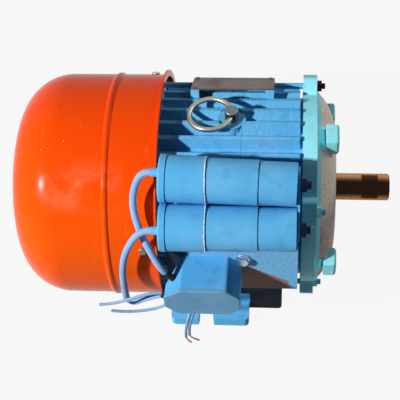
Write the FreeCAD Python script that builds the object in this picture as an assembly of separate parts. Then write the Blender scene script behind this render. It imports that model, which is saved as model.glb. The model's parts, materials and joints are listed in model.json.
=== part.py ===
"""Foot mounted single-phase induction motor as an assembly of separate solids.

Millimetres. The shaft lies along X with the drive end at +X, Z is up, the terminal side faces -Y.
The origin is on the shaft axis, in the plane of the shaft shoulder.
"""
import FreeCAD
import Part
import math
import os

V = FreeCAD.Vector
ORIGIN = V(0, 0, 0)
ALONG_X = V(1, 0, 0)
ALONG_Y = V(0, 1, 0)
ALONG_Z = V(0, 0, 1)

# Fits and clearances
fit = 0.02
running_fit = 0.05
thread_fit = 0.05
gap = 0.3
air_gap = 0.4
ball_fit = 0.15
touch = 0.01
end_room = 1.0

# Shaft
shaft_height = 125.0
shaft_r = 14.0
shaft_reach = 56.0
shaft_chamfer = 1.5
key_width = 8.0
key_depth = 4.0
key_length = 36.0
key_setback = 4.0
key_turn = 220.0
fan_seat_r = 11.0
rotor_seat_r = 19.0
rotor_shoulder_r = 17.0
rotor_seat_past = 6.0
fan_end_chamfer = 1.0
shaft_past_fan = 2.0

# Bearings
drive_bearing_bore_r = 15.0
drive_bearing_r = 31.0
drive_bearing_width = 16.0
drive_ball_r = 4.7
drive_ball_count = 9
fan_bearing_bore_r = 12.5
fan_bearing_r = 26.0
fan_bearing_width = 15.0
fan_ball_r = 3.95
fan_ball_count = 9
seal_r = 20.0
seal_width = 6.5
seal_recess = 1.0
drive_bearing_inset = 11.0
fan_bearing_inset = 3.0
hub_end = 3.0
bearing_stop = 2.0
race_share = 0.55
cage_share = 0.3
cage_margin = 1.2

# Frame casting
shield_nose = 17.0
drive_flange = 18.0
flange_chamfer = 4.0
fan_flange = 14.0
frame_length = 145.0
shell_r = 92.0
shell_wall = 8.0
fin_count = 36
fin_height = 11.5
fin_root = 13.0
fin_tip = 4.0
fin_setback = 3.0
flange_r = 100.0
spigot_length = 6.0
spigot_wall = 4.5
dome_flat_r = 45.0
dome_rim_r = 96.0
dome_r = 64.0
dome_wall = 11.0
dome_inner_r = 60.0
hub_wall = 9.0
hub_draft = 3.0
hub_clearance = 1.0
fan_wall = 9.0
fan_wall_proud = 1.0
fan_wall_r = 70.0

# Tie rods, midway between the lugs
tie_rod_pitch_r = 106.0
tie_rod_r = 3.0
tie_nut_flats = 10.0
tie_nut_length = 4.8
tie_rod_tail = 3.6
ear_width = 26.0
ear_height = 116.3
ear_corner_r = 4.0
tie_turns = [54.0, 144.0, 234.0, 324.0]

# Mounting lugs on the drive end
lug_width = 22.0
lug_inner = 79.0
lug_outer = 99.0
lug_proud = 0.5
lug_thickness = 13.0
lug_corner_r = 3.0
lug_hole_r = 5.0
lug_hole_depth = 11.0
lug_pitch_r = 89.0
lug_turns = [9.0, 99.0, 189.0, 279.0]

# Stator and rotor
stack_length = 84.0
stack_setback = 28.0
slot_count = 24
slot_mouth = 2.4
slot_inner_r = 55.0
slot_outer_r = 70.0
slot_inner_width = 6.0
slot_outer_width = 11.0
rotor_r = 51.6
coil_inner_r = 55.0
coil_outer_r = 77.0
coil_reach = 26.0
coil_round = 6.0
end_ring_inner_r = 33.0
end_ring_outer_r = 50.5
end_ring_length = 9.0

# Fan and fan cover
sheet = 1.5
cover_r = 116.0
cover_overlap = 5.0
lip_r = 121.0
lip_length = 2.0
cover_straight = 100.0
cover_corner_r = 52.0
cover_end_r = 400.0
bead_from_rim = 51.0
bead_width = 7.0
bead_height = 1.8
inlet_r = 60.0
inlet_hole_r = 3.5
inlet_pitch = 11.5
cover_screw_turns = [75.0, 195.0, 315.0]
cover_screw_inset = 4.0
cover_screw_r = 2.5
cover_screw_length = 14.0
cover_boss = 14.0
cover_screw_head_r = 4.2
cover_screw_head = 2.6
cover_screw_crown_r = 1.8
fan_r = 100.0
fan_hub_r = 20.0
fan_blade_count = 8
fan_blade = 3.0
fan_disc = 3.0
fan_width = 38.0
fan_hub_length = 29.0
fan_from_shield = 6.0
blade_root = 2.0
blade_tip_slope = 6.0
blade_tip_depth = 12.0
blade_eye = 20.0
fan_clip_wall = 4.0
fan_clip_width = 2.0

# Centrifugal switch
governor_disc_r = 32.0
governor_disc = 3.0
governor_hub_r = 19.0
governor_hub_length = 7.0
governor_from_ring = 1.0
governor_lug = 2.0
governor_lug_back = 3.0
governor_lug_low = 5.0
governor_lug_high = 4.0
weight_side_gap = 1.0
pivot_from_ring = 20.0
pivot_r = 30.0
pivot_pin_r = 1.5
weight_width = 11.0
weight_swing = 24.0
weight_arm_start = 2.0
weight_arm_end = 11.0
weight_arm_low = 3.0
weight_arm_high = 12.0
weight_root = 3.0
weight_root_high = 6.0
weight_finger = 2.4
weight_finger_reach = 10.5
finger_contact_r = 21.0
spool_r = 23.0
spool_neck_r = 18.5
spool_groove = 5.0
spool_rim = 2.0
spool_head = 6.5
switch_arm = 1.0
switch_arm_r = 44.0
switch_board = 3.0
switch_board_half = 16.0
switch_board_low = 38.0
switch_board_high = 64.0
switch_ear_inner = 4.4
switch_ear = 2.0
switch_ear_half = 2.5
switch_ear_past = 1.6
switch_lap = 0.5
switch_pin_r = 0.8
contact_half = 3.0
contact_proud = 0.8
contact_low = 6.0
contact_high = 11.0
contact_arm_half = 4.0
contact_arm_past = 2.0

# Feet
foot_inner = 38.0
foot_rail = 34.0
foot_reach = 96.0
foot_height = 27.0
foot_pad = 12.0
foot_pad_length = 84.5
foot_pad_lap = 8.0
foot_pad_corner_r = 5.0
rail_length = 120.0
rail_from_rim = 1.0
rail_corner_r = 4.0
foot_slot_width = 15.0
foot_slot_mouth = 17.0
foot_slot_flare = 5.0
foot_slot_depth = 18.0
foot_slot_from_rear = 38.0
foot_bolt_r = 5.0
foot_bolt_head_r = 8.0
foot_bolt_head = 7.0
foot_bolt_sink = 9.0
foot_bolt_inset = 19.0
foot_bolt_from_inner = 12.0
foot_bolt_room = 1.5
foot_bolt_length = 36.0

# Terminal pad and box, sizes out from the shaft axis toward -Y
pad_out = 110.0
pad_front = -38.0
pad_rear = -168.0
pad_top = 31.0
pad_bottom = -32.0
box_out = 149.0
box_front = -93.5
box_rear = -167.0
box_top = 21.0
box_bottom = -16.0
box_wall = 4.0
box_flare = 16.0
box_flare_out = 28.0
box_corner_r = 5.0
rear_top_chamfer = V(16, 0, 11)
front_top_chamfer = V(13, 0, 12)
front_low_chamfer = V(11, 0, 10)
rear_low_chamfer = V(12, 0, 11)
gasket = 1.0
gasket_inset = 0.5
lid = 3.5
lid_overhang = 0.6
lid_edge_r = 1.2
lead_window_r = 11.0
lead_window_x = -129.0
lead_window_z = 2.0

# Capacitors, in a plane turned from the upright toward the terminal side
capacitor_turn = 48.0
capacitor_out = 137.0
upper_capacitor_offset = 24.3
lower_capacitor_offset = -22.8
upper_lean = 1.9
capacitor_front = -40.0
capacitor_length = 129.0
capacitor_cap_r = 23.2
capacitor_cap = 7.0
capacitor_cap_edge_r = 2.0
capacitor_rear_r = 22.5
capacitor_middle_r = 21.6
capacitor_front_r = 20.8
can_r = 19.5
can_setback = 2.0
seam = 0.6
rear_seam_x = -125.0
front_seam_x = -75.6
gland_r = 4.2
gland_length = 8.0
upper_gland_offset = 5.3
lower_gland_offset = -3.3
bracket_sheet = 2.0
bracket_half_width = 34.0
bracket_rear = -158.0
bracket_end_height = 33.0
bracket_corner_r = 9.0
bracket_screw_offset = 3.0
bracket_boss = 12.0
bracket_boss_x = [-150.0, -55.0]
stud_r = 4.0
stud_reach = 13.0
capacitor_nut = 6.0
capacitor_nut_flats = 13.0

# Lifting post and ring
eye_x = -105.5
eye_boss_r = 14.0
eye_boss_top = 101.5
eye_post_r = 6.8
eye_post = 12.5
eye_post_edge_r = 1.2
eye_hole_rise = 6.5
eye_shank_r = 5.0
eye_shank = 15.0
ring_mean_r = 21.0
ring_wire_r = 2.6

# Nameplate
plate_turn = -30.0
plate_length = 84.0
plate_width = 46.0
plate_sheet = 1.2
plate_corner_r = 3.0
plate_rear = -148.5
plate_seat = 109.5
plate_boss = 8.5
rivet_r = 1.5
rivet_head_r = 2.6
rivet_crown_r = 1.6
rivet_head = 1.2
rivet_inset = 4.25
rivet_depth = 6.0

# Leads
lead_d = 7.0
tail_d = 3.0
copper_d = 2.4
end_run = 0.8
lead_end_run = 0.5
bend_share = 0.45
sweep_steps = 200
tail_offset = 1.8
tail_gap = 0.8
grommet_reach = 3.0
upper_grommet_reach = 13.0
lower_sleeve_end = V(-210.1, -129, -26.8)
sleeve_hang = V(0.03, -0.02, -1)
upper_loose_tip = V(-233, -150, -9)
lower_loose_tip = V(-222, -151, -18)
hang_way = V(1, 1, -20).normalize()
lead_straight = V(-6, 0, 0)
hanging_ends = [V(-152, -141, -79), V(-146, -140, -76)]

# Stations along the shaft
flange_front = -shield_nose
frame_front = flange_front - drive_flange
frame_rear = frame_front - frame_length
shield_rear = frame_rear - fan_flange
fin_r = shell_r + fin_height
bore_r = shell_r - shell_wall
stack_front = frame_front - stack_setback
stack_rear = stack_front - stack_length
ring_rear = stack_rear - end_ring_length
ring_front = stack_front + end_ring_length
ear_front = flange_front - flange_chamfer
drive_bearing_front = -drive_bearing_inset
drive_bearing_rear = drive_bearing_front - drive_bearing_width
fan_bearing_front = shield_rear - fan_bearing_inset
fan_bearing_rear = fan_bearing_front - fan_bearing_width
fan_wall_front = shield_rear + fan_wall_proud
hub_rear = fan_bearing_rear - hub_end
rim_x = frame_rear + cover_overlap
floor_z = -shaft_height
foot_seat_z = floor_z + foot_height
rail_rear = rim_x + rail_from_rim
rail_front = rail_rear + rail_length
bracket_seat = capacitor_out - capacitor_rear_r - bracket_sheet
capacitor_rear = capacitor_front - capacitor_length
lean_slack = capacitor_front_r * math.sin(math.radians(upper_lean)) + fit
bracket_front = capacitor_front + lean_slack
eye_z = eye_boss_top + eye_hole_rise
sag = ring_mean_r - math.sqrt(ring_mean_r ** 2 - eye_post_r ** 2)
eye_hole_r = ring_wire_r + sag + gap
pivot_x = ring_rear - pivot_from_ring
spool_travel = (pivot_r - finger_contact_r) * math.radians(weight_swing)
arm_x = pivot_x - spool_groove / 2 - spool_head - spool_travel / 2 - 2 * gap - switch_arm
shaft_rear = hub_rear - fan_from_shield - fan_width - shaft_past_fan
cover_screw_x = shield_rear + cover_screw_inset

# Screws
box_screw_r = 2.5
box_screw_depth = 14.0
box_screw_flats = 8.0
box_screw_head = 3.5
box_screw_inset = 25.0
box_screw_places = [(box_rear + box_screw_inset, 2.0), (-113.0, 11.0), (-113.0, -7.0)]
lid_screw_r = 2.0
lid_screw_depth = 10.0
lid_screw_head_r = 3.6
lid_screw_head = 1.6
lid_screw_slot = 1.0
lid_post_wall = 3.0
lid_post = 16.0
lid_screw_inset = 7.5
lid_screw_places = [(box_rear + lid_screw_inset, 2.5), (box_front - lid_screw_inset, 1.5)]
switch_screw_r = 2.0
switch_screw_depth = 5.0
switch_screw_flats = 6.5
switch_screw_head = 2.2
switch_screw_places = [(fan_wall_front, y, 56.0) for y in (-11.0, 11.0)]
earth_r = 3.0
earth_depth = 14.0
earth_flats = 10.0
earth_head = 4.5
earth_washer_r = 6.8
earth_washer = 1.4
earth_x = -92.0
earth_z = 18.0
bracket_screw_r = 2.5
bracket_screw_depth = 12.0
bracket_screw_flats = 8.0
bracket_screw_head = 3.5
board_rear = -147.0
board_front = -113.0
board_out = 122.0
board_sheet = 3.0
board_bottom = -10.0
board_top = 15.0
pillar_r = 2.4
pillar_places = [(-139.0, 13.0), (-139.0, -8.0), (-121.0, 13.0)]
terminal_places = [(x, z) for x in (-143.0, -130.0, -117.0) for z in (-4.0, 8.0)]
terminal_r = 2.0
terminal_length = 16.0
terminal_nut = 3.0
terminal_nut_flats = 7.0
rivet_x = [plate_rear + rivet_inset, plate_rear + plate_length - rivet_inset]
rivet_y = plate_width / 2 - rivet_inset
rivet_places = [(x, y) for x in rivet_x for y in (-rivet_y, rivet_y)]

# Ends of the leads, and the grommets in the box: place on the wall, way out, radius, reach
lean = V(-11, 0, 16).normalize()
droop = V(-11, 0, -12).normalize()
upper_lead_end = 6.0
upper_lead_out = V(-6, 0, -1)
upper_lead_in = V(46, -40, -58)
lower_lead_out = V(-34, -10, -8)
lower_lead_in = sleeve_hang
tail_drop = V(0, 0, -1.5)
tail_out = V(3, -3, -12)
tail_in = V(22, -3, 10)
loose_rise = V(0, 0, 2.2)
upper_loose_out = V(-22, -3, 4)
upper_loose_in = V(-18, -1, 5)
lower_loose_out = droop * 20
lower_loose_in = V(-18, -2, 7)
hanging_out = V(-4, -3, -22)
hanging_in = hang_way * 20
bare_tips = [V(5, 0.5, -11), V(10, 0.5, -11)]
bare_out = hang_way * 4
bare_hook = -1.5
upper_entry = V(box_rear + 8, -134, box_top - 5.5)
side_entry = V(box_rear, -143.5, 2.5)
lower_entry = V(box_rear + 6, -143.5, box_bottom + 5.5)
floor_entry = V(-140, -139, box_bottom)
grommet_places = [(upper_entry, lean, 3.3, upper_grommet_reach)]
grommet_places.append((side_entry, ALONG_X * -1, 4.6, grommet_reach))
grommet_places.append((lower_entry, droop, 3.6, grommet_reach))
grommet_places.append((floor_entry, ALONG_Z * -1, 5.0, grommet_reach))


def cylinder_x(radius, start, end):
    return Part.makeCylinder(radius, end - start, V(start, 0, 0), ALONG_X)


def ring_x(outer, inner, start, end):
    return cylinder_x(outer, start, end).cut(cylinder_x(inner, start, end))


def block(x0, x1, y0, y1, z0, z1):
    return Part.makeBox(x1 - x0, y1 - y0, z1 - z0, V(x0, y0, z0))


def turned(profile, bulge=None):
    """Solid of revolution, with an arc between the first two corners if a bulge point is given."""
    corners = [V(x, 0, r) for x, r in profile]
    edges = []
    for first, last in zip(corners, corners[1:] + corners[:1]):
        edges.append(Part.LineSegment(first, last).toShape())
    if bulge:
        edges[0] = Part.Arc(corners[0], bulge, corners[1]).toShape()
    return Part.Face(Part.Wire(edges)).revolve(ORIGIN, ALONG_X, 360)


def rolled(shape, degrees):
    copy = shape.copy()
    copy.rotate(ORIGIN, ALONG_X, degrees)
    return copy


def fused(shapes):
    return shapes[0].multiFuse(shapes[1:]).removeSplitter()


def group(shapes):
    solids = [solid for shape in shapes for solid in shape.Solids]
    return Part.makeCompound(solids)


def prism_x(corners, start, end):
    points = [V(start, y, z) for y, z in corners]
    face = Part.Face(Part.makePolygon(points + [points[0]]))
    return face.extrude(V(end - start, 0, 0))


def rounded_loop(points, radius):
    """A closed outline with every corner rounded by a tangent arc."""
    edges = []
    ends = []
    count = len(points)
    for i in range(count):
        corner = points[i]
        back = (points[i - 1] - corner).normalize()
        ahead = (points[(i + 1) % count] - corner).normalize()
        half = back.getAngle(ahead) / 2
        reach = radius / math.tan(half)
        middle = corner + (back + ahead).normalize() * (radius / math.sin(half) - radius)
        ends.append((corner + back * reach, middle, corner + ahead * reach))
    for i in range(count):
        first, middle, last = ends[i]
        edges.append(Part.Arc(first, middle, last).toShape())
        edges.append(Part.LineSegment(last, ends[(i + 1) % count][0]).toShape())
    return Part.Wire(edges)


def hexagon(flats, length, centre, direction):
    radius = flats / math.sqrt(3)
    corners = []
    for i in range(7):
        turn = math.radians(60 * i)
        corners.append(V(radius * math.cos(turn), radius * math.sin(turn), 0))
    prism = Part.Face(Part.makePolygon(corners)).extrude(V(0, 0, length))
    prism.Placement = FreeCAD.Placement(centre, FreeCAD.Rotation(ALONG_Z, direction))
    return prism


def bolt(shank_r, shank, flats, head, seat, direction):
    """A hexagon headed bolt whose head stands on the seat and points along the direction."""
    body = hexagon(flats, head, seat, direction)
    stem = Part.makeCylinder(shank_r, shank, seat - direction * shank, direction)
    return body.fuse(stem).removeSplitter()


def bent_tube(name, points, diameter):
    """A round tube along straight runs joined by tangent arcs."""
    edges = []
    start = points[0]
    tightest = None
    for i in range(1, len(points) - 1):
        before = points[i - 1] - points[i]
        after = points[i + 1] - points[i]
        turn = math.pi - before.getAngle(after)
        reach = bend_share * min(before.Length, after.Length)
        radius = reach / math.tan(turn / 2)
        if tightest is None or radius < tightest:
            tightest = radius
        back = before.normalize()
        ahead = after.normalize()
        first = points[i] + back * reach
        last = points[i] + ahead * reach
        sag = radius / math.cos(turn / 2) - radius
        middle = points[i] + (back + ahead).normalize() * sag
        edges.append(Part.LineSegment(start, first).toShape())
        edges.append(Part.Arc(first, middle, last).toShape())
        start = last
    edges.append(Part.LineSegment(start, points[-1]).toShape())
    print(name, "tightest bend", round(tightest, 1), "mm, diameter", diameter)
    path = Part.Wire(edges)
    profile = Part.Wire(Part.makeCircle(diameter / 2, points[0], points[1] - points[0]))
    return path.makePipeShell([profile], True, False)


def polar(radius, turn):
    """A point of the cross-section, turned from the upright toward -Y."""
    angle = math.radians(turn)
    return -radius * math.sin(angle), radius * math.cos(angle)


def finned_outline():
    """Cross-section of the casting. The fins that would meet a tie rod are left out."""
    step = 360 / fin_count
    start = tie_turns[0] % step
    root_half = math.degrees(math.asin(fin_root / 2 / shell_r))
    tip_half = math.degrees(math.asin(fin_tip / 2 / fin_r))
    turns = [start + i * step for i in range(fin_count)]
    turns = [turn for turn in turns if turn not in tie_turns]
    edges = []
    for i, turn in enumerate(turns):
        following = turns[i + 1] if i + 1 < len(turns) else turns[0] + 360
        corners = [polar(shell_r, turn - root_half), polar(fin_r, turn - tip_half)]
        corners += [polar(fin_r, turn + tip_half), polar(shell_r, turn + root_half)]
        points = [V(0, y, z) for y, z in corners]
        for first, last in zip(points, points[1:]):
            edges.append(Part.LineSegment(first, last).toShape())
        middle = V(0, *polar(shell_r, (turn + following) / 2))
        valley_end = V(0, *polar(shell_r, following - root_half))
        edges.append(Part.Arc(points[-1], middle, valley_end).toShape())
    return Part.Face(Part.Wire(edges))


def screw_hole(radius, depth, top, direction):
    """A threaded hole a little deeper than its screw, from its mouth along the direction."""
    return Part.makeCylinder(radius + thread_fit, depth + end_room, top, direction)


def bracket_bosses():
    bosses = []
    half = bracket_boss / 2
    low = bracket_screw_offset - half
    for x in bracket_boss_x:
        boss = block(x - half, x + half, low, low + bracket_boss, bore_r, bracket_seat)
        bosses.append(rolled(boss, capacitor_turn))
    return bosses


def plate_bosses():
    bosses = []
    half = plate_boss / 2
    for x, y in rivet_places:
        boss = block(x - half, x + half, y - half, y + half, bore_r, plate_seat)
        bosses.append(rolled(boss, plate_turn))
    return bosses


def frame_screw_holes():
    holes = []
    for seat, direction in foot_bolt_seats():
        holes.append(screw_hole(foot_bolt_r, foot_bolt_length, seat, direction * -1))
    holes.append(screw_hole(eye_shank_r, eye_shank, V(eye_x, 0, eye_boss_top), ALONG_Z * -1))
    for x, z in box_screw_places:
        holes.append(screw_hole(box_screw_r, box_screw_depth, V(x, -pad_out, z), ALONG_Y))
    holes.append(screw_hole(earth_r, earth_depth, V(earth_x, -pad_out, earth_z), ALONG_Y))
    for x in bracket_boss_x:
        top = V(x, bracket_screw_offset, bracket_seat)
        hole = screw_hole(bracket_screw_r, bracket_screw_depth, top, ALONG_Z * -1)
        holes.append(rolled(hole, capacitor_turn))
    for x, y in rivet_places:
        hole = screw_hole(rivet_r, rivet_depth, V(x, y, plate_seat), ALONG_Z * -1)
        holes.append(rolled(hole, plate_turn))
    return holes


def frame_rooms():
    """Cuts that keep the casting clear of the bore, the leads, the bracket and the lifting post."""
    start = frame_rear - end_room
    end = frame_front + end_room
    cuts = [cylinder_x(bore_r, start, end)] + tie_holes(start, end)
    window = V(lead_window_x, -pad_out - end_room, lead_window_z)
    cuts.append(Part.makeCylinder(lead_window_r, pad_out, window, ALONG_Y))
    half = bracket_half_width + gap
    front = bracket_front + bracket_sheet + gap
    room = block(bracket_rear - gap, front, -half, half, bracket_seat, capacitor_out)
    cuts.append(rolled(room, capacitor_turn))
    cuts.append(Part.makeCylinder(eye_boss_r, fin_height, V(eye_x, 0, eye_boss_top), ALONG_Z))
    return cuts


def stator_frame():
    length = frame_length - 2 * fin_setback
    fins = finned_outline()
    fins.translate(V(frame_rear + fin_setback, 0, 0))
    pieces = [fins.extrude(V(length, 0, 0)), cylinder_x(shell_r, frame_rear, frame_front)]
    pieces.append(block(pad_rear, pad_front, -pad_out, -bore_r, pad_bottom, pad_top))
    base = V(eye_x, 0, bore_r)
    pieces.append(Part.makeCylinder(eye_boss_r, eye_boss_top - bore_r, base, ALONG_Z))
    pieces += plate_bosses() + bracket_bosses()
    rail_outer = foot_inner + foot_rail
    for side in (-1, 1):
        inner, outer = sorted([side * foot_inner, side * rail_outer])
        pieces.append(block(rail_rear, rail_front, inner, outer, foot_seat_z, -rail_outer / 2))
    return fused(pieces).cut(frame_rooms() + frame_screw_holes())


def foot_bolt_seats():
    """Where the head of each foot bolt bears, and the way its head points."""
    seats = []
    for side in (-1, 1):
        for x in (rail_rear + foot_bolt_inset, rail_front - foot_bolt_inset):
            y = side * (foot_inner + foot_bolt_from_inner)
            seats.append((V(x, y, floor_z + foot_bolt_sink), ALONG_Z * -1))
    return seats


def outer_uprights(shape, side_y, height):
    """Upright edges of a block on its outer side."""
    upright = [edge for edge in shape.Edges if edge.BoundBox.ZLength > height - touch]
    return [edge for edge in upright if edge.BoundBox.YMax < side_y + touch]


def foot_slot():
    """An open slot with a round end and a slightly wider mouth."""
    x = rail_rear + foot_slot_from_rear
    root = -foot_reach + foot_slot_depth
    half = foot_slot_width / 2
    flare = foot_slot_mouth / 2
    low = floor_z - end_room
    tall = foot_pad + 2 * end_room
    edge = -foot_reach - end_room
    throat = -foot_reach + foot_slot_flare
    corners = [V(x - flare, edge, low), V(x + flare, edge, low), V(x + half, throat, low)]
    corners += [V(x + half, root, low), V(x - half, root, low), V(x - half, throat, low)]
    run = Part.Face(Part.makePolygon(corners + [corners[0]])).extrude(V(0, 0, tall))
    return run.fuse(Part.makeCylinder(half, tall, V(x, root, low), ALONG_Z))


def foot():
    """The foot on the terminal side: a rail with a shorter pad that carries an open slot."""
    rail_outer = foot_inner + foot_rail
    rail = block(rail_rear, rail_front, -rail_outer, -foot_inner, floor_z, foot_seat_z)
    rail = rail.makeFillet(rail_corner_r, outer_uprights(rail, -rail_outer, foot_height))
    pad_end = rail_rear + foot_pad_length
    inner = foot_pad_lap - rail_outer
    pad = block(rail_rear, pad_end, -foot_reach, inner, floor_z, floor_z + foot_pad)
    pad = pad.makeFillet(foot_pad_corner_r, outer_uprights(pad, -foot_reach, foot_pad))
    cuts = [foot_slot(), cylinder_x(fin_r + gap, rail_rear - end_room, rail_front + end_room)]
    head_room = foot_bolt_head_r + foot_bolt_room
    for seat, direction in foot_bolt_seats():
        cuts.append(Part.makeCylinder(foot_bolt_r + thread_fit, foot_height, seat, ALONG_Z))
        cuts.append(Part.makeCylinder(head_room, foot_bolt_sink + end_room, seat, direction))
    return rail.fuse(pad).removeSplitter().cut(cuts)


def mirrored(shape):
    return shape.mirror(ORIGIN, ALONG_Y)


def foot_bolts():
    flats = foot_bolt_head_r * math.sqrt(3)
    bolts = []
    for seat, direction in foot_bolt_seats():
        bolts.append(bolt(foot_bolt_r, foot_bolt_length, flats, foot_bolt_head, seat, direction))
    return group(bolts)


def ears(outer, start, end):
    half = ear_width / 2
    ear = block(start, end, -half, half, shell_r, outer)
    top = [edge for edge in ear.Edges if edge.BoundBox.ZMin > outer - touch]
    ear = ear.makeFillet(ear_corner_r, [edge for edge in top if edge.BoundBox.XLength > touch])
    return [rolled(ear, turn) for turn in tie_turns]


def tie_holes(start, end):
    place = V(start, 0, tie_rod_pitch_r)
    hole = Part.makeCylinder(tie_rod_r + gap, end - start, place, ALONG_X)
    return [rolled(hole, turn) for turn in tie_turns]


def lugs():
    half = lug_width / 2
    lug = block(lug_proud - lug_thickness, lug_proud, -half, half, lug_inner, lug_outer)
    front = [edge for edge in lug.Edges if edge.BoundBox.XMin > lug_proud - touch]
    lug = lug.makeFillet(lug_corner_r, front)
    return [rolled(lug, turn) for turn in lug_turns]


def lug_holes():
    place = V(lug_proud - lug_hole_depth, 0, lug_pitch_r)
    hole = Part.makeCylinder(lug_hole_r, lug_hole_depth + end_room, place, ALONG_X)
    return [rolled(hole, turn) for turn in lug_turns]


def dome_bulge(face):
    """Middle of the arc that rounds the drive end from its flat to its rim."""
    first = V(face, 0, dome_flat_r)
    last = V(flange_front, 0, dome_rim_r)
    chord = last - first
    half = chord.Length / 2
    rise = dome_r - math.sqrt(dome_r ** 2 - half ** 2)
    out = V(chord.z, 0, -chord.x).normalize()
    return (first + last) * 0.5 + out * rise


def drive_end_shield():
    face = -shaft_chamfer
    wall = face - dome_wall
    hub_r = drive_bearing_r + hub_wall
    spigot_r = bore_r - fit
    spigot_end = frame_front - spigot_length
    spigot_inner = spigot_r - spigot_wall
    seat_r = drive_bearing_r + fit
    hub_end_x = drive_bearing_rear - bearing_stop
    profile = [(face, dome_flat_r), (flange_front, dome_rim_r), (ear_front, flange_r)]
    profile += [(frame_front, flange_r), (frame_front, spigot_r), (spigot_end, spigot_r)]
    profile += [(spigot_end, spigot_inner), (frame_front, spigot_inner), (wall, dome_inner_r)]
    profile += [(wall, hub_r + hub_draft), (hub_end_x, hub_r), (hub_end_x, seat_r)]
    profile += [(drive_bearing_front, seat_r), (drive_bearing_front, seal_r + fit), (face, seal_r + fit)]
    pieces = [turned(profile, dome_bulge(face))] + ears(ear_height, frame_front, ear_front) + lugs()
    return fused(pieces).cut(lug_holes() + tie_holes(frame_front - end_room, ear_front + end_room))


def fan_end_shield():
    nut_flat_r = tie_rod_pitch_r - tie_nut_flats / math.sqrt(3) - gap
    wall_rear = fan_wall_front - fan_wall
    hub_r = fan_bearing_r + hub_wall
    spigot_r = bore_r - fit
    spigot_end = frame_rear + spigot_length
    spigot_inner = spigot_r - spigot_wall
    seat_r = fan_bearing_r + fit
    lip = fan_bearing_front + bearing_stop
    shaft_hole_r = fan_bearing_bore_r + hub_clearance
    profile = [(lip, seat_r), (lip, hub_r), (fan_wall_front, hub_r), (fan_wall_front, fan_wall_r)]
    profile += [(frame_rear - spigot_length, spigot_inner), (spigot_end, spigot_inner)]
    profile += [(spigot_end, spigot_r), (frame_rear, spigot_r), (frame_rear, flange_r)]
    profile += [(shield_rear, flange_r), (shield_rear, nut_flat_r), (wall_rear, fan_wall_r)]
    profile += [(wall_rear, hub_r + hub_draft), (hub_rear, hub_r), (hub_rear, shaft_hole_r)]
    profile += [(fan_bearing_rear, shaft_hole_r), (fan_bearing_rear, seat_r)]
    reach = cover_r - sheet - gap
    ear_top = math.sqrt(reach ** 2 - (ear_width / 2 - ear_corner_r) ** 2)
    pieces = [turned(profile)] + ears(ear_top, shield_rear, frame_rear)
    half = cover_boss / 2
    boss = block(shield_rear, frame_rear, -half, half, shell_r, math.sqrt(reach ** 2 - half ** 2))
    pieces += [rolled(boss, turn) for turn in cover_screw_turns]
    cuts = tie_holes(shield_rear - end_room, frame_rear + end_room) + cover_screw_holes()
    for x, y, z in switch_screw_places:
        mouth = V(x + end_room, y, z)
        cuts.append(screw_hole(switch_screw_r, switch_screw_depth + end_room, mouth, ALONG_X * -1))
    return fused(pieces).cut(cuts)


def tie_rods():
    start = shield_rear - tie_nut_length - tie_rod_tail
    end = ear_front + tie_nut_length + tie_rod_tail
    rod = Part.makeCylinder(tie_rod_r, end - start, V(start, 0, tie_rod_pitch_r), ALONG_X)
    return group([rolled(rod, turn) for turn in tie_turns])


def tie_nuts(start):
    place = V(start, 0, tie_rod_pitch_r)
    nut = hexagon(tie_nut_flats, tie_nut_length, place, ALONG_X)
    nut = nut.cut(Part.makeCylinder(tie_rod_r + thread_fit, tie_nut_length, place, ALONG_X))
    return group([rolled(nut, turn) for turn in tie_turns])


def cover_profile(inset):
    """Half outline of the fan cover from its rim to the middle of its end, moved inward by the inset."""
    radius = cover_r - inset
    corner_x = rim_x - cover_straight
    corner_r = cover_r - cover_corner_r
    span = cover_end_r - cover_corner_r
    end_x = corner_x + math.sqrt(span ** 2 - corner_r ** 2)
    lean = math.asin(corner_r / span)
    tight = cover_corner_r - inset
    wide = cover_end_r - inset
    middle_turn = (math.pi / 2 + lean) / 2
    start = V(corner_x, 0, radius)
    middle = V(corner_x - tight * math.cos(middle_turn), 0, corner_r + tight * math.sin(middle_turn))
    join = V(end_x - wide * math.cos(lean), 0, wide * math.sin(lean))
    halfway = V(end_x - wide * math.cos(lean / 2), 0, wide * math.sin(lean / 2))
    apex = V(end_x - wide, 0, 0)
    return [Part.Arc(start, middle, join).toShape(), Part.Arc(join, halfway, apex).toShape()]


def fan_cover():
    inner_r = cover_r - sheet
    bead_x = rim_x - bead_from_rim
    half = bead_width / 2
    outer = cover_profile(0)
    inner = cover_profile(sheet)
    straight_end = outer[0].Vertexes[0].Point
    inner_end = inner[0].Vertexes[0].Point
    apex = outer[1].Vertexes[1].Point
    inner_apex = inner[1].Vertexes[1].Point
    rim = [V(rim_x, 0, inner_r), V(rim_x, 0, lip_r), V(rim_x - lip_length, 0, lip_r)]
    rim += [V(rim_x - lip_length, 0, cover_r), V(bead_x + half, 0, cover_r)]
    edges = [Part.LineSegment(inner_end, rim[0]).toShape()]
    for first, last in zip(rim, rim[1:]):
        edges.append(Part.LineSegment(first, last).toShape())
    bead_end = V(bead_x - half, 0, cover_r)
    edges.append(Part.Arc(rim[-1], V(bead_x, 0, cover_r + bead_height), bead_end).toShape())
    edges.append(Part.LineSegment(bead_end, straight_end).toShape())
    edges += outer
    edges.append(Part.LineSegment(apex, inner_apex).toShape())
    edges += inner
    wire = Part.Wire(Part.__sortEdges__(edges))
    shell = Part.Face(wire).revolve(ORIGIN, ALONG_X, 360)
    return shell.cut(inlet_holes() + cover_screw_holes())


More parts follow.
